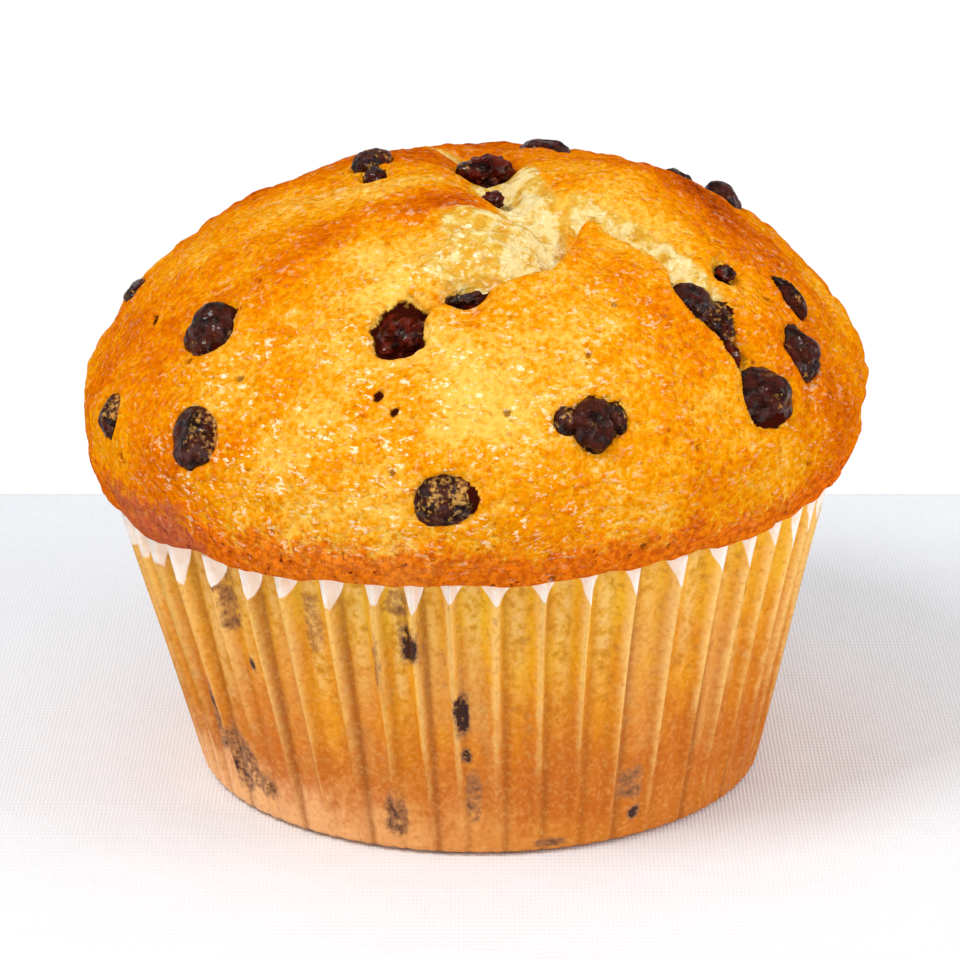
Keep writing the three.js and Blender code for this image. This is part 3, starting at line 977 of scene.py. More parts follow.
        marks = {
            "crumb": torn,
            "brown": self.browning(wx, wy, climb, bearing, grain, torn),
            "edge": ease(fall, 0.25, 0.95) * (1.0 - 0.35 * np.abs(Noise(31).layered(base, 4.0, 2))),
            # painted shade in the pores
            "hole": painted_pore_shade,
            "stain": np.maximum(stain, held(1.4 * pricked)),
            "plum": ease(np.cos(bearing - self.plum_bearing), 0.95, 1.0) * ease(fall, 0.25, 0.8),
            # gloss, and where painted highlight glints go in the crust's colour
            "gloss_and_painted_glints": held(heap(self.glossy_painted_glint_patches, x, y) * front),
        }
        return points, marks

    def slab(self, x: Array, y: Array) -> Array:
        """The front slab's broken edge: a sharp step down behind the line that climbs back over a few mm.

        Args:
            x: the places' x in millimetres.
            y: their y.

        Returns:
            The lift in millimetres.
        """
        distance, along = self.slab_edge.measure(x, y)
        behind = ease(-distance, -0.15, 0.5)
        lip = self.slab_lip * bell(distance - 0.9, 1.2)
        step = self.slab_step * behind * bell(distance, 3.0)
        return span(along, (0.0, 0.12), (0.9, 1.0)) * (lip - step)

    def left_shoulder(self, bearing: Array, climb: Array) -> Array:
        """How far the dome's left shoulder lies below the even round."""
        facing = ease(np.cos(bearing - self.shoulder_bearing), 0.75, 1.0)
        return self.shoulder_drop * bell(climb - self.shoulder_climb, self.shoulder_reach) * facing

    def clear_of_chips(self, points: Array) -> Array:
        """0 on a chip, 1 away from all of them.

        Args:
            points: places in millimetres, with x, y and z last.

        Returns:
            One number for each point, from 0 to 1.
        """
        clear = np.ones(points.shape[:-1])
        for chip in self.chips:
            near = chip.near(points)
            clear[near] *= ease(chip.reach(points[near]), 0.9, 1.7)
        return clear

    def on_slab(self, x: Array, y: Array) -> tuple[Array, Array]:
        """Where the front slab lies, near its broken edge, and where it has its baked skin.

        The skin starts at the edge, but on the slab's left only a little in from it.

        Args:
            x: the places' x in millimetres.
            y: their y.

        Returns:
            Two numbers from 0 to 1 for each place: on the slab, and on its skin.
        """
        distance, along = self.slab_edge.measure(x, y)
        ends = span(along, (0.02, 0.1), (0.93, 1.0))
        skin = mix(2.6, 0.5, ease(along, 0.3, 0.5))
        return ends * ease(distance, -0.3, 0.4), ends * ease(distance, -0.3, skin)

    def torn_crumb(self, x: Array, y: Array) -> Array:
        """Where the pale crumb shows, from 0 to 1: near the torn lines.

        Args:
            x: the places' x in millimetres.
            y: their y.

        Returns:
            One number for each place.
        """
        shown = np.zeros(x.shape)
        for line, half_width, amount in self.torn:
            distance, along = line.measure(x, y)
            middle = 1.0 - ease(np.abs(distance), 0.6 * half_width, 1.25 * half_width)
            shown = np.maximum(shown, amount * span(along, (-0.01, 0.1), (0.85, 1.0)) * middle)
        return shown

    def grain(self, base: Array, torn: Array, bearing: Array, climb: Array) -> tuple[Array, Array]:
        """Fine relief: lumps of 6, 2.6 and 1.1 mm, creases, deeper on the right flank, and pores.

        Args:
            base: the plain dome's points.
            torn: where the crumb shows.
            bearing: the bearing of each point.
            climb: the climb of each point.

        Returns:
            The lift in millimetres, and how much painted shade each point takes as a pore, from 0 to 1.
        """
        lumps = 0.22 * Noise(1).smooth(base, 6.0) + 0.24 * Noise(2).smooth(base, 2.6)
        fine = 0.11 * Noise(3).layered(base, 1.1, 2)
        flank = ease(np.sin(bearing), 0.45, 0.9) * (1.0 - ease(climb, 0.35, 0.8))
        valleys = (1.0 - np.abs(Noise(4).layered(base * [1.0, 1.0, 0.6], 3.2, 2))) ** 4
        creases = self.crease_depth * valleys * (0.3 + flank)
        opened = Noise(5).pores(base, self.pore_wave, self.open_share)
        closed = (1.0 - torn) * Noise(6).pores(base, self.pore_wave, self.closed_share)
        crumb = 0.6 * Noise(7).layered(base, 3.0, 2) + 0.36 * Noise(9).smooth(base, 1.6)
        depth = torn * (crumb - self.open_depth * opened) - self.closed_depth * closed
        return lumps + fine - creases + depth, np.maximum(torn * opened * 0.4, closed)

    def sockets(self, points: Array) -> tuple[Array, Array]:
        """The crust round each chip: a groove at its outline, or a ragged hole if it melted, and a swelling.

        Args:
            points: the crust's points before this step.

        Returns:
            The lift in millimetres and how stained the crust is with chocolate, from 0 to 1.
        """
        lift = np.zeros(points.shape[:-1])
        stain = np.zeros(points.shape[:-1])
        for number, chip in enumerate(self.chips):
            fit = SETTINGS[chip.kind]
            near = chip.near(points)
            some = points[near]
            reach = chip.reach(some) + fit.ragged * Noise(60 + number).smooth(some, 1.9)
            groove = fit.depth * bell(reach - 1.0, fit.width / np.mean(chip.across))
            lift[near] += 0.14 * bell(reach - 1.5, 0.3) - groove
            stain[near] = np.maximum(stain[near], 1.0 - ease(reach, fit.level, fit.level + fit.fade))
        return lift, stain

    def browning(self, x: Array, y: Array, climb: Array, bearing: Array, grain: Array, torn: Array) -> Array:
        """How brown the crust is: listed patches, low flanks, raised grain and slow noise.

        Args:
            x: the places' x in millimetres.
            y: their y.
            climb: the climb of each place.
            bearing: its bearing.
            grain: its fine relief.
            torn: where the crumb shows.

        Returns:
            One number for each place, from 0 to 1.
        """
        spots = np.stack([x, y, self.climb_length * climb], axis=-1)
        side = 0.3 + 0.7 * ease(np.abs(np.sin(bearing)), 0.35, 0.95)
        flank = self.brown_flank * (1.0 - ease(climb, 0.1, 0.9)) * side
        back = self.brown_back * ease(-np.cos(bearing), 0.0, 0.6)
        drift = self.brown_drift * Noise(8).layered(spots, 9.0, 3)
        amount = self.golden + heap(self.browned, x, y) + flank + back + drift + 0.1 * grain
        return held(amount * (1.0 - 0.85 * torn))

    def wall(self, first_ring: Array, bearing: Array) -> Array:
        """The dough's wall in the case: rings from the lip's tuck down the paper's inside to the foot.

        Args:
            first_ring: the points under the lip.
            bearing: their bearings.

        Returns:
            The rings' points, from the top down.
        """
        edge = first_ring[:, 2] - self.lip_gap
        foot = FORM.foot_z + self.case_gap
        rings = [
            (case_radius(bearing, share) - self.case_gap, mix(foot, edge, share))
            for share in np.linspace(1.0, 0.0, self.wall_rows)
        ]
        rings += [(radius, self.floor_z) for radius in (FORM.contact_radius - 1.5, FORM.contact_radius * 0.5)]
        return np.stack([FORM.place(bearing, radius, z) for radius, z in rings])

    def build(self) -> Any:
        """The whole sponge as one closed surface: the wound disc, the wall's rings and the foot's hub.

        Returns:
            The sponge's object.
        """
        share, bearing = self.disc()
        points, marks = self.crust(share, bearing)
        side = self.grid + 1
        index = np.arange(side * side).reshape(side, side)
        quads = np.stack([index[:-1, :-1], index[1:, :-1], index[1:, 1:], index[:-1, 1:]], axis=-1)
        ring = np.concatenate([index[:-1, 0], index[-1, :-1], index[:0:-1, -1], index[0, :0:-1]])
        flat = points.reshape(-1, 3)
        rim_bearing = bearing.ravel()[ring]
        wall = self.wall(flat[ring], rim_bearing)
        first, count, rows = len(flat), len(ring), len(wall)
        hub = first + rows * count
        stack = np.vstack([flat, wall.reshape(-1, 3), [[0.0, 0.0, self.floor_z]]])
        under = first + np.arange(count)
        joint = np.stack([ring, under, np.roll(under, -1), np.roll(ring, -1)], axis=-1)
        sides = loop_quads(rows, count, first)[:, ::-1]
        foot = fan(under + (rows - 1) * count, hub, upwards=False)
        faces = [face for part in (quads.reshape(-1, 4), joint, sides, foot) for face in part.tolist()]
        padding = np.zeros(rows * count + 1)
        marks = {name: np.concatenate([values.ravel(), padding]) for name, values in marks.items()}
        piece = make_piece("sponge_crust", stack, faces, marks)
        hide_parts("sponge")
        return piece


# ------------------------------------------------------------------ the paper case
def case_radius(bearing: Array, share: Array) -> Array:
    """The outer radius of the paper's wall.

    Crests taper with height, and narrow ridges stand off the panels between them.

    Args:
        bearing: the bearings.
        share: how far up the wall, from 0 to 1.

    Returns:
        The radii in millimetres.
    """
    number, phase = FORM.flute(bearing, share)
    half = mix(FORM.foot_half_width, FORM.rim_half_width, share)
    half = half * (1.0 + FORM.ridge_spread * np.sin(number * 2.4 + 1.0))
    half = half * np.where(phase > 0.0, FORM.ridge_sides[1], FORM.ridge_sides[0])
    depth = mix(0.5 * FORM.foot_depth, FORM.rim_depth, share)
    ridge = held(1.0 - np.abs(phase) / half)
    rounded = mix(ridge**1.4 * (1.6 - 0.6 * ridge), ridge, 0.5 * share)
    panel = -FORM.panel_bow * np.cos(np.pi * held((np.abs(phase) - half) / (0.5 - half)))
    crest = mix(FORM.foot_radius, FORM.rim_radius, share)
    return crest - depth * (1.0 - rounded) + panel * (ridge <= 0.0)


@dataclass
class PaperCase:
    """The fluted baking case: a thin closed shell, its free folds and what shows through its paper."""

    columns_per_flute: int = 14
    wall_rows: int = 64
    inner_rows: int = 12
    corner_rows: int = 6
    thickness: float = 0.2
    rim_gap: float = 0.15
    floor_radii: tuple[float, ...] = (9.0, 18.0, 24.0)
    # a free fold's length and width at the front, and what the sides add to them
    fold_reach: tuple[float, float] = (2.4, 2.9)
    fold_width: tuple[float, float] = (1.95, -0.8)
    crest_shift: float = 0.04
    # dark places: bearing in degrees, height, half width, half height, amount
    smears: tuple[Row, ...] = (
        (-10.5, 23.7, 0.95, 2.3, 1.0), (-12.0, 28.3, 1.4, 1.6, 0.4), (-2.5, 16.3, 0.8, 2.2, 1.0),
        (-2.0, 11.6, 0.5, 0.9, 0.9), (-1.0, 7.0, 0.9, 3.0, 0.45), (-42.0, 18.5, 0.45, 0.9, 0.9),
        (-52.0, 6.5, 2.4, 4.0, 0.55), (-58.0, 10.0, 0.8, 4.5, 0.5), (-46.0, 4.0, 1.6, 1.6, 0.55),
        (-16.0, 4.4, 1.3, 2.8, 0.5), (29.5, 6.6, 1.6, 2.2, 0.45), (31.0, 3.2, 0.9, 0.8, 0.95),
        (14.0, 1.3, 2.2, 0.5, 0.5), (-27.0, 25.0, 1.4, 4.0, 0.3), (-44.0, 26.0, 1.2, 4.5, 0.42),
        (-16.0, 22.0, 0.4, 3.4, 0.45), (5.0, 26.0, 1.3, 4.5, 0.16),
    )

    def corner(self, share: Array) -> tuple[Array, Array]:
        """The foot's rounded corner: a quarter of an ellipse from the flat underside to the wall.

        Args:
            share: how far round the corner, from 0 to 1.

        Returns:
            The radius and the height.
        """
        turn = share * np.pi / 2
        radius = mix(FORM.contact_radius, FORM.foot_radius, np.sin(turn))
        return radius, FORM.foot_z * (1.0 - np.cos(turn))

    def build(self) -> Any:
        """The case as one closed grid: underside, corner, wall, rim, inner wall and inner floor.

        Returns:
            The case's object.
        """
        columns = FORM.flutes * self.columns_per_flute
        bearing = np.linspace(0.0, 2.0 * np.pi, columns, endpoint=False)
        top = FORM.lip_height(bearing) - self.rim_gap
        rings = [(radius, 0.0, 0.0) for radius in self.floor_radii]
        for share in np.linspace(0.0, 1.0, self.corner_rows, endpoint=False):
            radius, z = self.corner(share)
            rings.append((radius + (case_radius(bearing, 0.0) - FORM.foot_radius) * share, z, 0.0))
        upwards = np.linspace(0.0, 1.0, self.wall_rows)
        downwards = np.linspace(1.0, 0.0, self.inner_rows)
        for shares, inset in ((upwards, 0.0), (downwards, self.thickness)):
            for share in shares:
                radius = case_radius(bearing, share) - inset
                rings.append((radius, mix(FORM.foot_z + inset, top, share), share))
        rings += [(radius, self.thickness, 0.0) for radius in self.floor_radii[::-2]]
        grid = np.stack([FORM.place(bearing, radius, z) for radius, z, _ in rings])
        count = grid.shape[0] * columns
        points = np.vstack([grid.reshape(-1, 3), [[0, 0, 0], [0, 0, self.thickness]]])
        faces = loop_quads(grid.shape[0], columns).tolist()
        faces += fan(np.arange(columns), count, upwards=False).tolist()
        faces += fan(count - columns + np.arange(columns), count + 1, upwards=True).tolist()
        shares = np.append(np.repeat([share for *_, share in rings], columns), [0.0, 0.0])
        marks = self.marks(points, shares)
        piece = make_piece("paper_shell", points, faces, marks)
        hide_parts("paper_case")
        return piece

    def marks(self, points: Array, share: Array) -> dict[str, Array]:
        """What the finish reads at each point, by attribute name.

        Args:
            points: the case's points.
            share: how far up the wall each one lies, from 0 to 1.

        Returns:
            Numbers for each point.
        """
        bearing = np.arctan2(points[:, 0] - FORM.lean(points[:, 2]), -points[:, 1])
        number, phase = FORM.flute(bearing, share)
        panel = np.floor(FORM.pleats(bearing))
        # painted shade: a dark line close beside one side of each crest, where the fold's shadow falls
        painted_fold_shade = bell(phase - 0.2 - 0.05 * np.sin(number * 4.1), 0.1)
        return {
            "across": np.abs(phase),
            "share": share,
            "left": 0.5 - 0.5 * np.sin(bearing),
            "free": self.free_fold(points, share, bearing),
            "dark": self.smeared(points, bearing),
            "baked": 0.5 + 0.5 * np.sin(panel * 2.6 + 0.9 * np.sin(panel * 1.3)),
            "painted_fold_shade": painted_fold_shade * (0.6 + 0.4 * np.sin(number * 2.9)),
        }

    def free_fold(self, points: Array, share: Array, bearing: Array) -> Array:
        """How far inside a free fold each point is.

        A fold is a wedge down its crest, longer and narrower at the sides.

        Args:
            points: the case's points.
            share: how far up the wall each one lies.
            bearing: its bearing.

        Returns:
            Millimetres inside the fold, below 0 outside it.
        """
        number, phase = FORM.flute(bearing, share)
        flank = np.abs(np.sin(bearing))
        reach = self.fold_reach[0] + self.fold_reach[1] * flank
        reach += 0.45 * np.sin(number * 3.3 + 0.5) + 0.35 * np.sin(number * 7.1)
        width = (self.fold_width[0] + self.fold_width[1] * flank) * (1.0 + 0.2 * np.sin(number * 5.3 + 1.0))
        below = (1.0 - share) * (FORM.lip_z - FORM.foot_z)
        pitch = 2.0 * np.pi * mix(FORM.foot_radius, FORM.rim_radius, share) / FORM.flutes
        side = np.abs(phase - self.crest_shift) * pitch
        return width * np.clip(1.0 - below / reach, -1.0, 1.0) - side + 0.1 * Noise(40).smooth(points, 1.2)

    def smeared(self, points: Array, bearing: Array) -> Array:
        """How dark the chocolate behind the paper makes each point.

        A smear is a block with rounded corners and a ragged edge.

        Args:
            points: the case's points.
            bearing: their bearings.

        Returns:
            One number for each point, from 0 to 1.
        """
        dark = np.zeros(len(points))
        radius = np.hypot(points[:, 0], points[:, 1])
        raggedness = 0.22 * Noise(41).smooth(points, 1.6)
        for degrees, z, half_width, half_height, amount in self.smears:
            off = np.angle(np.exp(1j * (bearing - np.radians(degrees)))) * radius
            block = (np.abs(off / half_width) ** 3 + np.abs((points[:, 2] - z) / half_height) ** 3) ** (1 / 3)
            ragged = block + raggedness
            fade = 0.8 * ease(ragged, 0.6, 1.1) + 0.2 * ease(ragged, 1.0, 1.9)
            dark = np.maximum(dark, amount * (1.0 - fade))
        return dark


# ------------------------------------------------------------------ shaders
class Socket:
    """A number in a shader that takes Python's arithmetic: each operation adds a Math node."""

    def __init__(self, shader: "Shader", socket: Any) -> None:
        """Keeps the node tree and the Blender socket."""
        self.shader = shader
        self.socket = socket

    def _math(self, operation: str, *values: Any) -> "Socket":
        """A Math node of the given operation on the given values."""
        return self.shader.node("ShaderNodeMath", {"operation": operation}, dict(enumerate(values)))

    def __add__(self, other: Any) -> "Socket":
        """self + other."""
        return self._math("ADD", self, other)

    def __sub__(self, other: Any) -> "Socket":
        """self - other."""
        return self._math("SUBTRACT", self, other)

    def __rsub__(self, other: Any) -> "Socket":
        """other - self."""
        return self._math("SUBTRACT", other, self)

    def __mul__(self, other: Any) -> "Socket":
        """self * other."""
        return self._math("MULTIPLY", self, other)

    __radd__ = __add__
    __rmul__ = __mul__

    def ease(self, low: float, high: float) -> "Socket":
        """0 up to low, 1 from high, and a smooth step between them; low may be the larger.

        Args:
            low: where the step starts.
            high: where it ends.

        Returns:
            The step.
        """
        flipped = low > high
        start, end = (high, low) if flipped else (low, high)
        step = self.shader.node(
            "ShaderNodeMapRange",
            {"interpolation_type": "SMOOTHSTEP"},
            {"Value": self, "From Min": start, "From Max": end},
        )
        return 1.0 - step if flipped else step

    def held(self) -> "Socket":
        """self held between 0 and 1."""
        return self.shader.node("ShaderNodeClamp", {}, {"Value": self})


class Shader:
    """The nodes of one material or world, and the only place where they are made."""

    def __init__(self, owner: Any) -> None:
        """Empties the owner's node tree.

        Args:
            owner: a material or a world.
        """
        self.owner = owner
        owner.use_nodes = True
        self.tree = owner.node_tree
        self.tree.nodes.clear()

    @cached_property
    def place(self) -> Socket:
        """Where the shaded point lies, in the piece's own frame."""
        return self.node("ShaderNodeTexCoord", output="Object")

    def node(
        self,
        kind: str,
        settings: Mapping[str, Any] | None = None,
        inputs: Mapping[Any, Any] | None = None,
        output: Any = 0,
    ) -> Socket:
        """Adds a node.

        Args:
            kind: the node's type name.
            settings: its properties, set first; a ramp's stops are given as "stops".
            inputs: values or sockets by the input's name or number.
            output: the name or number of the output wanted, or None for a node that has none.

        Returns:
            That output.
        """
        made = self.tree.nodes.new(kind)
        for key, value in (settings or {}).items():
            if key == "stops":
                self._stops(made.color_ramp, value)
            else:
                setattr(made, key, value)
        for key, value in (inputs or {}).items():
            if isinstance(value, Socket):
                self.tree.links.new(value.socket, made.inputs[key])
            else:
                made.inputs[key].default_value = value
        return Socket(self, None if output is None else made.outputs[output])

    @staticmethod
    def _stops(ramp: Any, stops: Sequence[tuple[float, Sequence[float]]]) -> None:
        """Sets a colour ramp's stops.

        Args:
            ramp: the ramp.
            stops: positions from 0 to 1, each with its colour.
        """
        while len(ramp.elements) < len(stops):
            ramp.elements.new(0.5)
        for element, (position, colour) in zip(ramp.elements, stops):
            element.position = position
            element.color = colour

    def mark(self, name: str) -> Socket:
        """A number that the mesh carries."""
        return self.node("ShaderNodeAttribute", {"attribute_name": name}, output="Fac")

    def noise(
        self, wave: float, detail: float = 3.0, rough: float = 0.55, stretch: tuple[float, ...] | None = None
    ) -> Socket:
        """Noise from 0 to 1.

        Args:
            wave: the size of its lumps in millimetres.
            detail: how many finer layers it has.
            rough: how strong they are.
            stretch: scales along x, y and z; the lumps grow along an axis whose scale is below 1.

        Returns:
            The noise.
        """
        place = self.place
        if stretch:
            place = self.node("ShaderNodeMapping", {}, {"Vector": place, "Scale": stretch})
        inputs = {"Vector": place, "Scale": 1.0 / (wave * MM), "Detail": detail, "Roughness": rough}
        return self.node("ShaderNodeTexNoise", {}, inputs)

    def grit(self, wave: float, detail: float = 3.0, rough: float = 0.55) -> Socket:
        """The same noise round 0, for shifting another value up and down."""
        return self.noise(wave, detail, rough) - 0.5

    def ramp(self, value: Socket, *stops: tuple[float, Sequence[float]]) -> Socket:
        """A colour read off a ramp."""
        return self.node("ShaderNodeValToRGB", {"stops": stops}, {"Fac": value}, "Color")

    def blend(self, amount: Any, below: Any, above: Any) -> Socket:
        """Two colours mixed by an amount; the colour inputs of this node are its sixth and seventh."""
        return self.node("ShaderNodeMix", {"data_type": "RGBA"}, {0: amount, 6: below, 7: above}, 2)

    def cover(self, below: Any, *coats: tuple[Any, Any]) -> Any:
        """A colour with others laid over it in turn, each by its own amount.

        Args:
            below: the lowest colour.
            *coats: amounts from 0 to 1, each with its colour.

        Returns:
            The colour seen.
        """
        for amount, above in coats:
            below = self.blend(amount, below, above)
        return below

    def bump(self, height: Any, depth: float, under: Socket | None = None) -> Socket:
        """A bumped normal: height from 0 to 1 stands for a depth in millimetres.

        Args:
            height: the pattern.
            depth: the depth.
            under: a normal that is bumped already.

        Returns:
            The normal.
        """
        inputs: dict[Any, Any] = {"Height": height, "Distance": depth * MM, "Strength": 1.0}
        if under is not None:
            inputs["Normal"] = under
        return self.node("ShaderNodeBump", {}, inputs, "Normal")

    def finish(self, **inputs: Any) -> Any:
        """Ends the material in a Principled shader with these inputs, underscores standing for spaces.

        Args:
            **inputs: values or sockets by the input's name.

        Returns:
            The material.
        """
        named = {key.replace("_", " "): value for key, value in inputs.items()}
        surface = self.node("ShaderNodeBsdfPrincipled", {}, named, "BSDF")
        self.node("ShaderNodeOutputMaterial", {}, {"Surface": surface}, None)
        return self.owner


def new_material(name: str) -> Shader:
    """The shader of a new material."""
    return Shader(bpy.data.materials.new(name))


@dataclass(frozen=True)
class CrustFinish:
    """Golden baked crust that browns on its rises, pale torn crumb, and a fine sugary shine of clear coat and
    painted highlight flecks.
    """

    pale: Colour = srgb(238, 188, 78)
    gold: Colour = srgb(230, 148, 6)
    orange: Colour = srgb(216, 110, 0)
    brown: Colour = srgb(184, 76, 2)
    dark: Colour = srgb(124, 44, 2)
    rim: Colour = srgb(228, 110, 16)
    rim_deep: Colour = srgb(190, 74, 10)
    fleck: Colour = srgb(120, 40, 8)
    plum: Colour = srgb(152, 80, 72)
    crumb_white: Colour = srgb(234, 210, 144)
    crumb_light: Colour = srgb(216, 172, 64)
    crumb_deep: Colour = srgb(206, 144, 22)
    painted_pit_shade: Colour = srgb(104, 44, 8)
    # painted shade: the dark inside of the crust's pores
    stain: Colour = srgb(58, 16, 8)
    # painted highlight: the near-white of the glint flecks
    painted_glint_white: Colour = srgb(255, 240, 200)

    def material(self) -> Any:
        """The crust's material: its browning, then rim, stains, flecks, crumb, painted shade in holes and
        painted glints over it.

        Returns:
            The material.
        """
        s = new_material("baked_crust")
        broad, coarse, fine = s.grit(4.0, 3.0), s.grit(1.5, 3.0, 0.6), s.grit(0.6, 2.0, 0.6)
        brown = s.mark("brown") + broad * 0.35 + coarse * 0.4 + fine * 0.8
        shares = (0.0, 0.25, 0.5, 0.78, 1.0)
        crust = s.ramp(brown.held(), *zip(shares, (self.pale, self.gold, self.orange, self.brown, self.dark)))
        rim = (s.mark("edge") + coarse * 1.1 + fine * 0.6).ease(0.1, 0.7)
        plum = (s.mark("plum") + coarse * 1.4 + broad * 0.8 - 0.3).ease(0.1, 0.7)
        flecks = s.noise(0.8, 2.0, 0.6).ease(0.63, 0.73) * (0.4 + s.mark("edge"))
        paleness = coarse * 2.4 + broad * 0.8 + (s.mark("crumb") - 0.6) * 0.8 + 0.44
        crumbs = (0.25, self.crumb_deep), (0.5, self.crumb_light), (0.8, self.crumb_white)
        crumb = s.ramp(paleness.held(), *crumbs)
        torn = (s.mark("crumb") + coarse * 0.9 + broad * 0.5).ease(0.15, 0.75)
        painted_pore_shade = (s.mark("hole") * 1.1 + fine * 0.6).ease(0.25, 0.8)
        stained = (s.mark("stain") + coarse * 1.2 + fine * 0.7).ease(0.3, 0.75)
        # where painted glints and the coat may fall: glossy patches and torn crumb, not the lip
        painted_glint_and_coat_zone = (s.mark("gloss_and_painted_glints") * 0.95 + torn * 0.6 + 0.2) * (1.0 - s.mark("edge")).held()
        clusters = s.noise(2.4, 3.0, 0.6).ease(0.42, 0.62)
        streaks = s.noise(0.45, 2.0, 0.6, (0.6, 0.6, 1.1)).ease(0.54, 0.66)
        painted_glints_and_coat = (streaks * painted_glint_and_coat_zone * (clusters + 0.08) - stained).held()
        colour = s.cover(
            crust,
            (rim * 0.85, s.blend(s.noise(0.7, 2.0, 0.6).ease(0.4, 0.6), self.rim_deep, self.rim)),
            (plum * 0.5, self.plum),
            (flecks * 0.8, self.fleck),
            (torn, crumb),
            # painted shade in the pores: dark brown on the crust, deeper yellow in the crumb
            (painted_pore_shade * 0.7, s.blend(torn, self.painted_pit_shade, self.crumb_deep)),
            (stained, self.stain),
            # painted highlights: white flecks and streaks laid into the colour
            (painted_glints_and_coat * 0.7, self.painted_glint_white),
        )
        normal = s.bump(s.noise(1.5, 2.0, 0.55), 0.7)
        normal = s.bump(s.noise(0.6, 1.0), 0.28, normal)
        return s.finish(
            Base_Color=colour,
            Roughness=(0.5 + coarse * 0.6 + torn * 0.1).held(),
            Normal=normal,
            Specular_IOR_Level=0.0,
            Coat_Weight=(painted_glints_and_coat + torn * 0.6).held() * 0.5,
            Coat_Roughness=0.11,
            Coat_IOR=1.45,
        )


@dataclass(frozen=True)
class PaperFinish:
    """Greased baking paper: crumb shows through where it clings, pale crests, white free folds, and a painted
    shadow beside each crest.
    """

    free: Colour = srgb(255, 242, 230)
    cream: Colour = srgb(240, 212, 172)
    crest: Colour = srgb(250, 200, 116)
    yellow: Colour = srgb(246, 192, 40)
    wet: Colour = srgb(164, 104, 18)
    rose: Colour = srgb(250, 190, 130)
    gold: Colour = srgb(234, 156, 8)
    amber: Colour = srgb(204, 116, 2)
    olive: Colour = srgb(214, 156, 40)
    grey: Colour = srgb(234, 194, 116)
    sand: Colour = srgb(228, 160, 40)
    pale: Colour = srgb(238, 184, 96)
    orange: Colour = srgb(214, 122, 14)
    rust: Colour = srgb(192, 96, 8)
    tan: Colour = srgb(220, 144, 44)
    # painted shadow beside the crests
    fold: Colour = srgb(146, 74, 4)
    shade: Colour = srgb(156, 104, 64)
    smear: Colour = srgb(60, 32, 26)

    def material(self) -> Any:
        """The paper's material: oily and crisp panels, then marks, crests, painted fold shadows, smears and
        free folds.

        Returns:
            The material.
        """
        s = new_material("greased_paper")
        share, across = s.mark("share"), s.mark("across")
        left, baked = s.mark("left"), s.mark("baked")
        drift = s.noise(5.0, 4.0, 0.55, (1.0, 1.0, 0.5)) - 0.5
        coarse, fine = s.grit(1.3, 3.0, 0.6), s.grit(0.5, 2.0, 0.6)
        up, down = share + drift, 1.0 - share + drift * 0.9
        oily = s.ramp(down.held(), (0.0, self.yellow), (0.35, self.gold), (0.7, self.amber), (1.0, self.tan))
        crisp = s.ramp((down + coarse * 0.8).held(), (0.1, self.sand), (0.5, self.orange), (0.8, self.rust))
        middle = (across + coarse * 0.25).ease(0.22, 0.42) * up.ease(0.35, 0.75)
        cling = (baked * 0.6 + down * 0.7 + coarse * 0.4).ease(0.35, 0.95)
        worn = (baked * 0.7 + coarse * 0.6 + drift * 0.8).ease(0.3, 0.8) * share.ease(0.95, 0.6)
        low = (share + drift * 0.7 + coarse * 0.3).ease(0.3, 0.0) * (0.4 + left * 0.5)
        width = 0.045 + share * 0.07 + drift * 0.16
        lit = ((1.0 - down) * 1.1 + baked * 0.35 + coarse * 0.6).ease(0.2, 0.95) * (0.85 - left * 0.25)
        dark = s.mark("dark") * (1.0 + coarse * 2.6 + fine * 2.0)
        free = s.mark("free").ease(-0.04, 0.06)
        colour = s.cover(
            oily,
            (middle * 0.7, s.blend(coarse.ease(-0.08, 0.1), self.grey, self.olive)),
            (cling, crisp),
            (worn * up.ease(0.15, 0.5) * (0.65 - left.ease(0.6, 0.9) * 0.5), self.pale),
            (low, s.blend(left.ease(0.3, 0.9), self.tan, self.rose)),
            (coarse.ease(0.03, 0.2) * up.ease(0.05, 0.6) * 0.4, self.wet),
            (left.ease(0.6, 0.95) * share * 0.35, self.amber),
            (left.ease(0.5, 0.1) * (1.0 - share) * 0.5, self.rust),
            ((width - across + coarse * 0.14).ease(-0.09, 0.07) * lit, self.crest),
            # painted fold shadows beside the crests
            ((s.mark("painted_fold_shade") * (1.0 + drift)).held() * 0.75, self.fold),
            (fine.ease(0.0, 0.25) * 0.4, self.rust),
            (fine.ease(0.05, -0.25) * 0.22, self.crest),
            (dark.ease(0.08, 0.5) * 0.8, self.shade),
            (dark.ease(0.4, 0.9), self.smear),
            (free, s.blend(s.noise(1.6, 3.0, 0.6).ease(0.45, 0.7) * 0.5, self.free, self.cream)),
        )
        normal = s.bump(s.noise(1.2, 2.0, 0.6), 0.2)
        return s.finish(
            Base_Color=colour,
            Roughness=0.45 + free * 0.1,
            Normal=normal,
            Specular_IOR_Level=0.12,
            Coat_Weight=(1.0 - free) * 0.07,
            Coat_Roughness=0.2,
        )


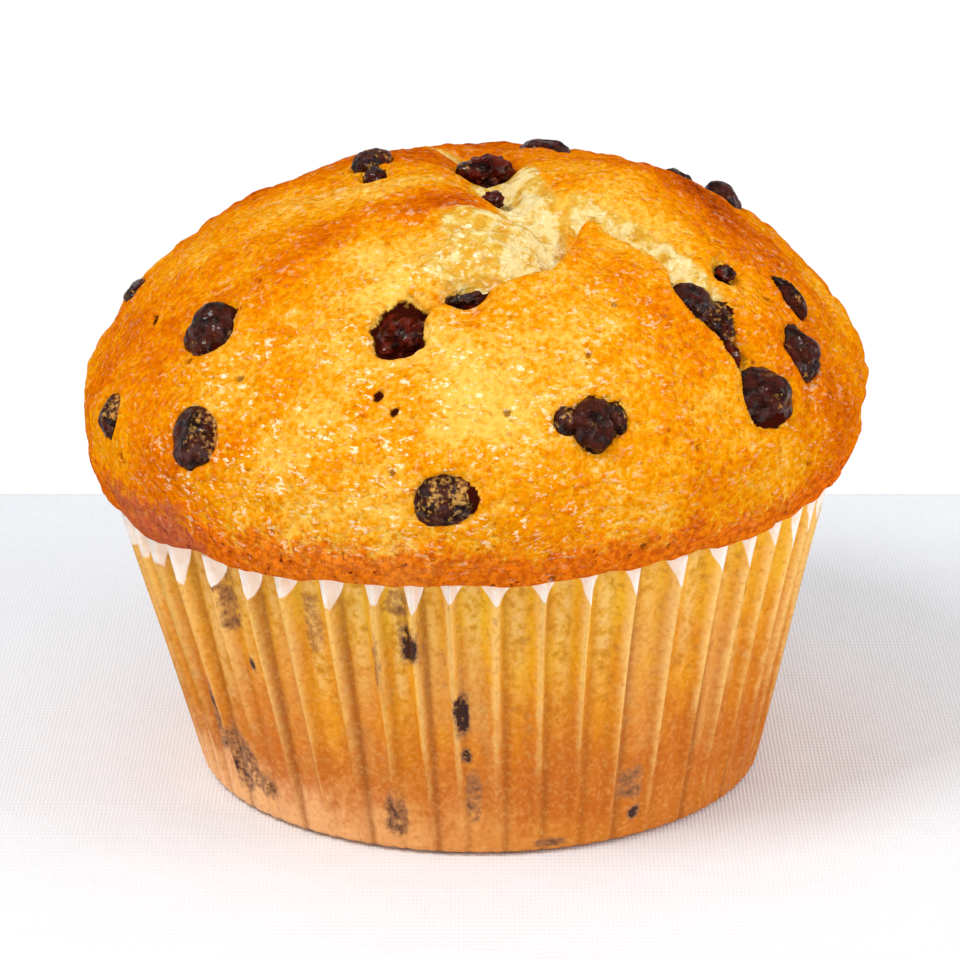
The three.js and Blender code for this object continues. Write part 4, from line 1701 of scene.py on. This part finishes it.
@dataclass(frozen=True)
class ChocolateFinish:
    """Dark chocolate: soft shine, tiny dents, and a dusting of batter near the crust."""

    kind: Chocolate
    body: Colour = srgb(72, 28, 18)
    deep: Colour = srgb(28, 9, 6)
    melted: Colour = srgb(96, 24, 10)
    batter: Colour = srgb(150, 92, 48)
    crumbs: Colour = srgb(214, 158, 76)

    def material(self) -> Any:
        """The chocolate's material: two browns in patches, dusted with batter.

        Returns:
            The material.
        """
        s = new_material("chocolate_" + self.kind.value)
        melted = self.kind is Chocolate.MELTED
        light = self.melted if melted else self.body
        dust = (s.mark("dust") + s.grit(0.5, 2.0, 0.6) * 2.2).ease(0.3, 0.95)
        dusting = s.blend(s.noise(0.5, 2.0).ease(0.4, 0.6), self.batter, self.crumbs)
        colour = s.cover(self.deep, (s.noise(1.4, 3.0).ease(0.35, 0.65), light), (dust * 0.8, dusting))
        normal = s.bump(s.noise(1.3, 2.0, 0.6), 0.9)
        normal = s.bump(s.noise(0.45, 1.0), 0.28, normal)
        return s.finish(
            Base_Color=colour,
            Roughness=(0.32 + dust * 0.4 + s.grit(0.8, 2.0) * 0.5).held(),
            Normal=normal,
            Specular_IOR_Level=0.05,
            Coat_Weight=s.noise(0.9, 2.0).ease(0.48, 0.62) * (0.8 if melted else 0.5),
            Coat_Roughness=0.1,
        )


@dataclass(frozen=True)
class ClothFinish:
    """Plain white table cloth with a fine weave."""

    thread: Colour = srgb(246, 248, 252)
    gap: Colour = srgb(232, 236, 242)
    pitches: tuple[float, float] = (0.4, 0.85)

    def material(self) -> Any:
        """The cloth's material: two crossed sets of threads.

        Returns:
            The material.
        """
        s = new_material("white_cloth")
        waves = [
            s.node(
                "ShaderNodeTexWave",
                {"wave_type": "BANDS", "bands_direction": axis},
                {"Vector": s.place, "Scale": 0.314 / (pitch * MM), "Distortion": 0.6, "Detail": 1.0},
                "Fac",
            )
            for axis, pitch in zip("XY", self.pitches)
        ]
        weave = waves[0] * waves[1]
        colour = s.blend(weave, self.gap, self.thread)
        creases = s.noise(30.0, 3.0)
        normal = s.bump(creases, 1.2)
        return s.finish(Base_Color=colour, Roughness=0.9, Normal=s.bump(weave, 0.06, normal))


# ------------------------------------------------------------------ the set
@dataclass(frozen=True)
class Studio:
    """The table, the light and the camera."""

    elevation: float = 18.7
    distance: float = 420.0
    target_z: float = 29.0
    focal: float = 155.3
    sensor: float = 36.0
    table_back: float = 85.5
    table_half_width: float = 700.0
    table_front: float = 900.0
    table_thickness: float = 12.0
    near_clip: float = 0.01
    sky_low: float = -0.05
    sky_high: float = 0.45
    sky_glow_low: float = 1.02
    sky_glow_high: float = 0.64
    # each soft box: name, place, size and power
    lamps: tuple[tuple[str, tuple[float, float, float], float, float], ...] = (
        ("key", (-260, -250, 520), 200, 1.8),
        ("front_fill", (60, -620, 260), 420, 0.5),
        ("right_fill", (520, -200, 300), 350, 1.2),
    )

    def table(self) -> Any:
        """The cloth-covered table top: a flat slab whose back edge is rounded over, swept along X.

        Returns:
            The table's object.
        """
        turn = np.linspace(0.0, np.pi / 2, 8)
        r = self.table_thickness / 2
        back = np.stack([self.table_back - r + r * np.sin(turn), -r + r * np.cos(turn)], axis=-1)
        outline = np.vstack([[[-self.table_front, 0.0]], back, [[self.table_back, -self.table_thickness]]])
        outline = np.vstack([outline, [[-self.table_front, -self.table_thickness]]])
        count = len(outline)
        ends = [np.insert(outline, 0, x, axis=1) for x in (-self.table_half_width, self.table_half_width)]
        ring = np.arange(count)
        after = np.roll(ring, -1)
        faces = np.stack([ring, ring + count, after + count, after], axis=-1).tolist()
        faces += [ring.tolist(), (ring[::-1] + count).tolist()]
        table = make_piece("table_cloth", np.vstack(ends), faces, {})
        table.data.materials.append(ClothFinish().material())
        return table

    def aim(self, thing: Any, place: Sequence[float]) -> None:
        """Puts a lamp or camera at a place in millimetres and turns it to the muffin's middle.

        Args:
            thing: the lamp or camera.
            place: where it stands.
        """
        thing.location = Vector(place) * MM
        way = Vector((0.0, 0.0, self.target_z)) * MM - thing.location
        thing.rotation_euler = way.to_track_quat("-Z", "Y").to_euler()

    def lamp(self, name: str, place: Sequence[float], size: float, power: float) -> None:
        """A square white soft box aimed at the muffin's middle; its place and size are in millimetres.

        Args:
            name: the lamp's name.
            place: where it stands.
            size: the length of its side.
            power: its power in watts.
        """
        data = bpy.data.lights.new(name, "AREA")
        data.size = size * MM
        data.energy = power
        self.aim(make_object(name, data), place)

    def sky(self) -> None:
        """White all round, dimmer overhead so that the key light models the form."""
        s = Shader(bpy.data.worlds.new("studio"))
        bpy.context.scene.world = s.owner
        way = s.node("ShaderNodeTexCoord", output="Generated")
        height = s.node("ShaderNodeSeparateXYZ", {}, {0: way}, "Z")
        range_ = {"From Min": self.sky_low, "From Max": self.sky_high, "To Min": self.sky_glow_low}
        glow = s.node("ShaderNodeMapRange", {}, {"Value": height, "To Max": self.sky_glow_high, **range_})
        back = s.node("ShaderNodeBackground", {}, {"Color": (1.0, 1.0, 1.0, 1.0), "Strength": glow})
        s.node("ShaderNodeOutputWorld", {}, {"Surface": back}, None)

    def camera(self) -> None:
        """The camera in front of the muffin, looking down a little."""
        data = bpy.data.cameras.new("camera")
        data.sensor_width = self.sensor
        data.lens = self.focal
        data.clip_start = self.near_clip
        camera = make_object("camera", data)
        tilt = np.radians(self.elevation)
        self.aim(camera, (0.0, -self.distance * np.cos(tilt), self.distance * np.sin(tilt) + self.target_z))
        bpy.context.scene.camera = camera

    def build(self) -> None:
        """Sets the whole studio up."""
        self.table()
        self.sky()
        for settings in self.lamps:
            self.lamp(*settings)
        self.camera()
        bpy.context.scene.view_settings.view_transform = "Standard"


# ------------------------------------------------------------------ the whole
def dress(piece: Any, material: Any) -> None:
    """Gives a piece its material and its place on the body.

    Args:
        piece: the piece.
        material: its material.
    """
    piece.data.materials.clear()
    piece.data.materials.append(material)
    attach(piece, BODY)
    LOG.info("%s: %d faces in %s", piece.name, len(piece.data.polygons), material.name)


def main() -> None:
    """Builds the sponge, the case, the chips and the studio, in that order."""
    logging.basicConfig(level=logging.INFO, format="%(name)s %(message)s")
    chips = [*VISIBLE_CHIPS, *BackChips().chips()]
    dress(Sponge(chips).build(), CrustFinish().material())
    dress(PaperCase().build(), PaperFinish().material())
    finishes = {kind: ChocolateFinish(kind).material() for kind in Chocolate}
    baker = ChipBaker()
    for number, chip in enumerate(chips, start=1):
        dress(baker.build(chip, number), finishes[chip.kind])
    for name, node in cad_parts.items():
        if name.startswith("side_chip"):
            node.data.materials.clear()
            node.data.materials.append(finishes[Chocolate.FIRM])
    Studio().build()


if __name__ == "__main__":
    main()
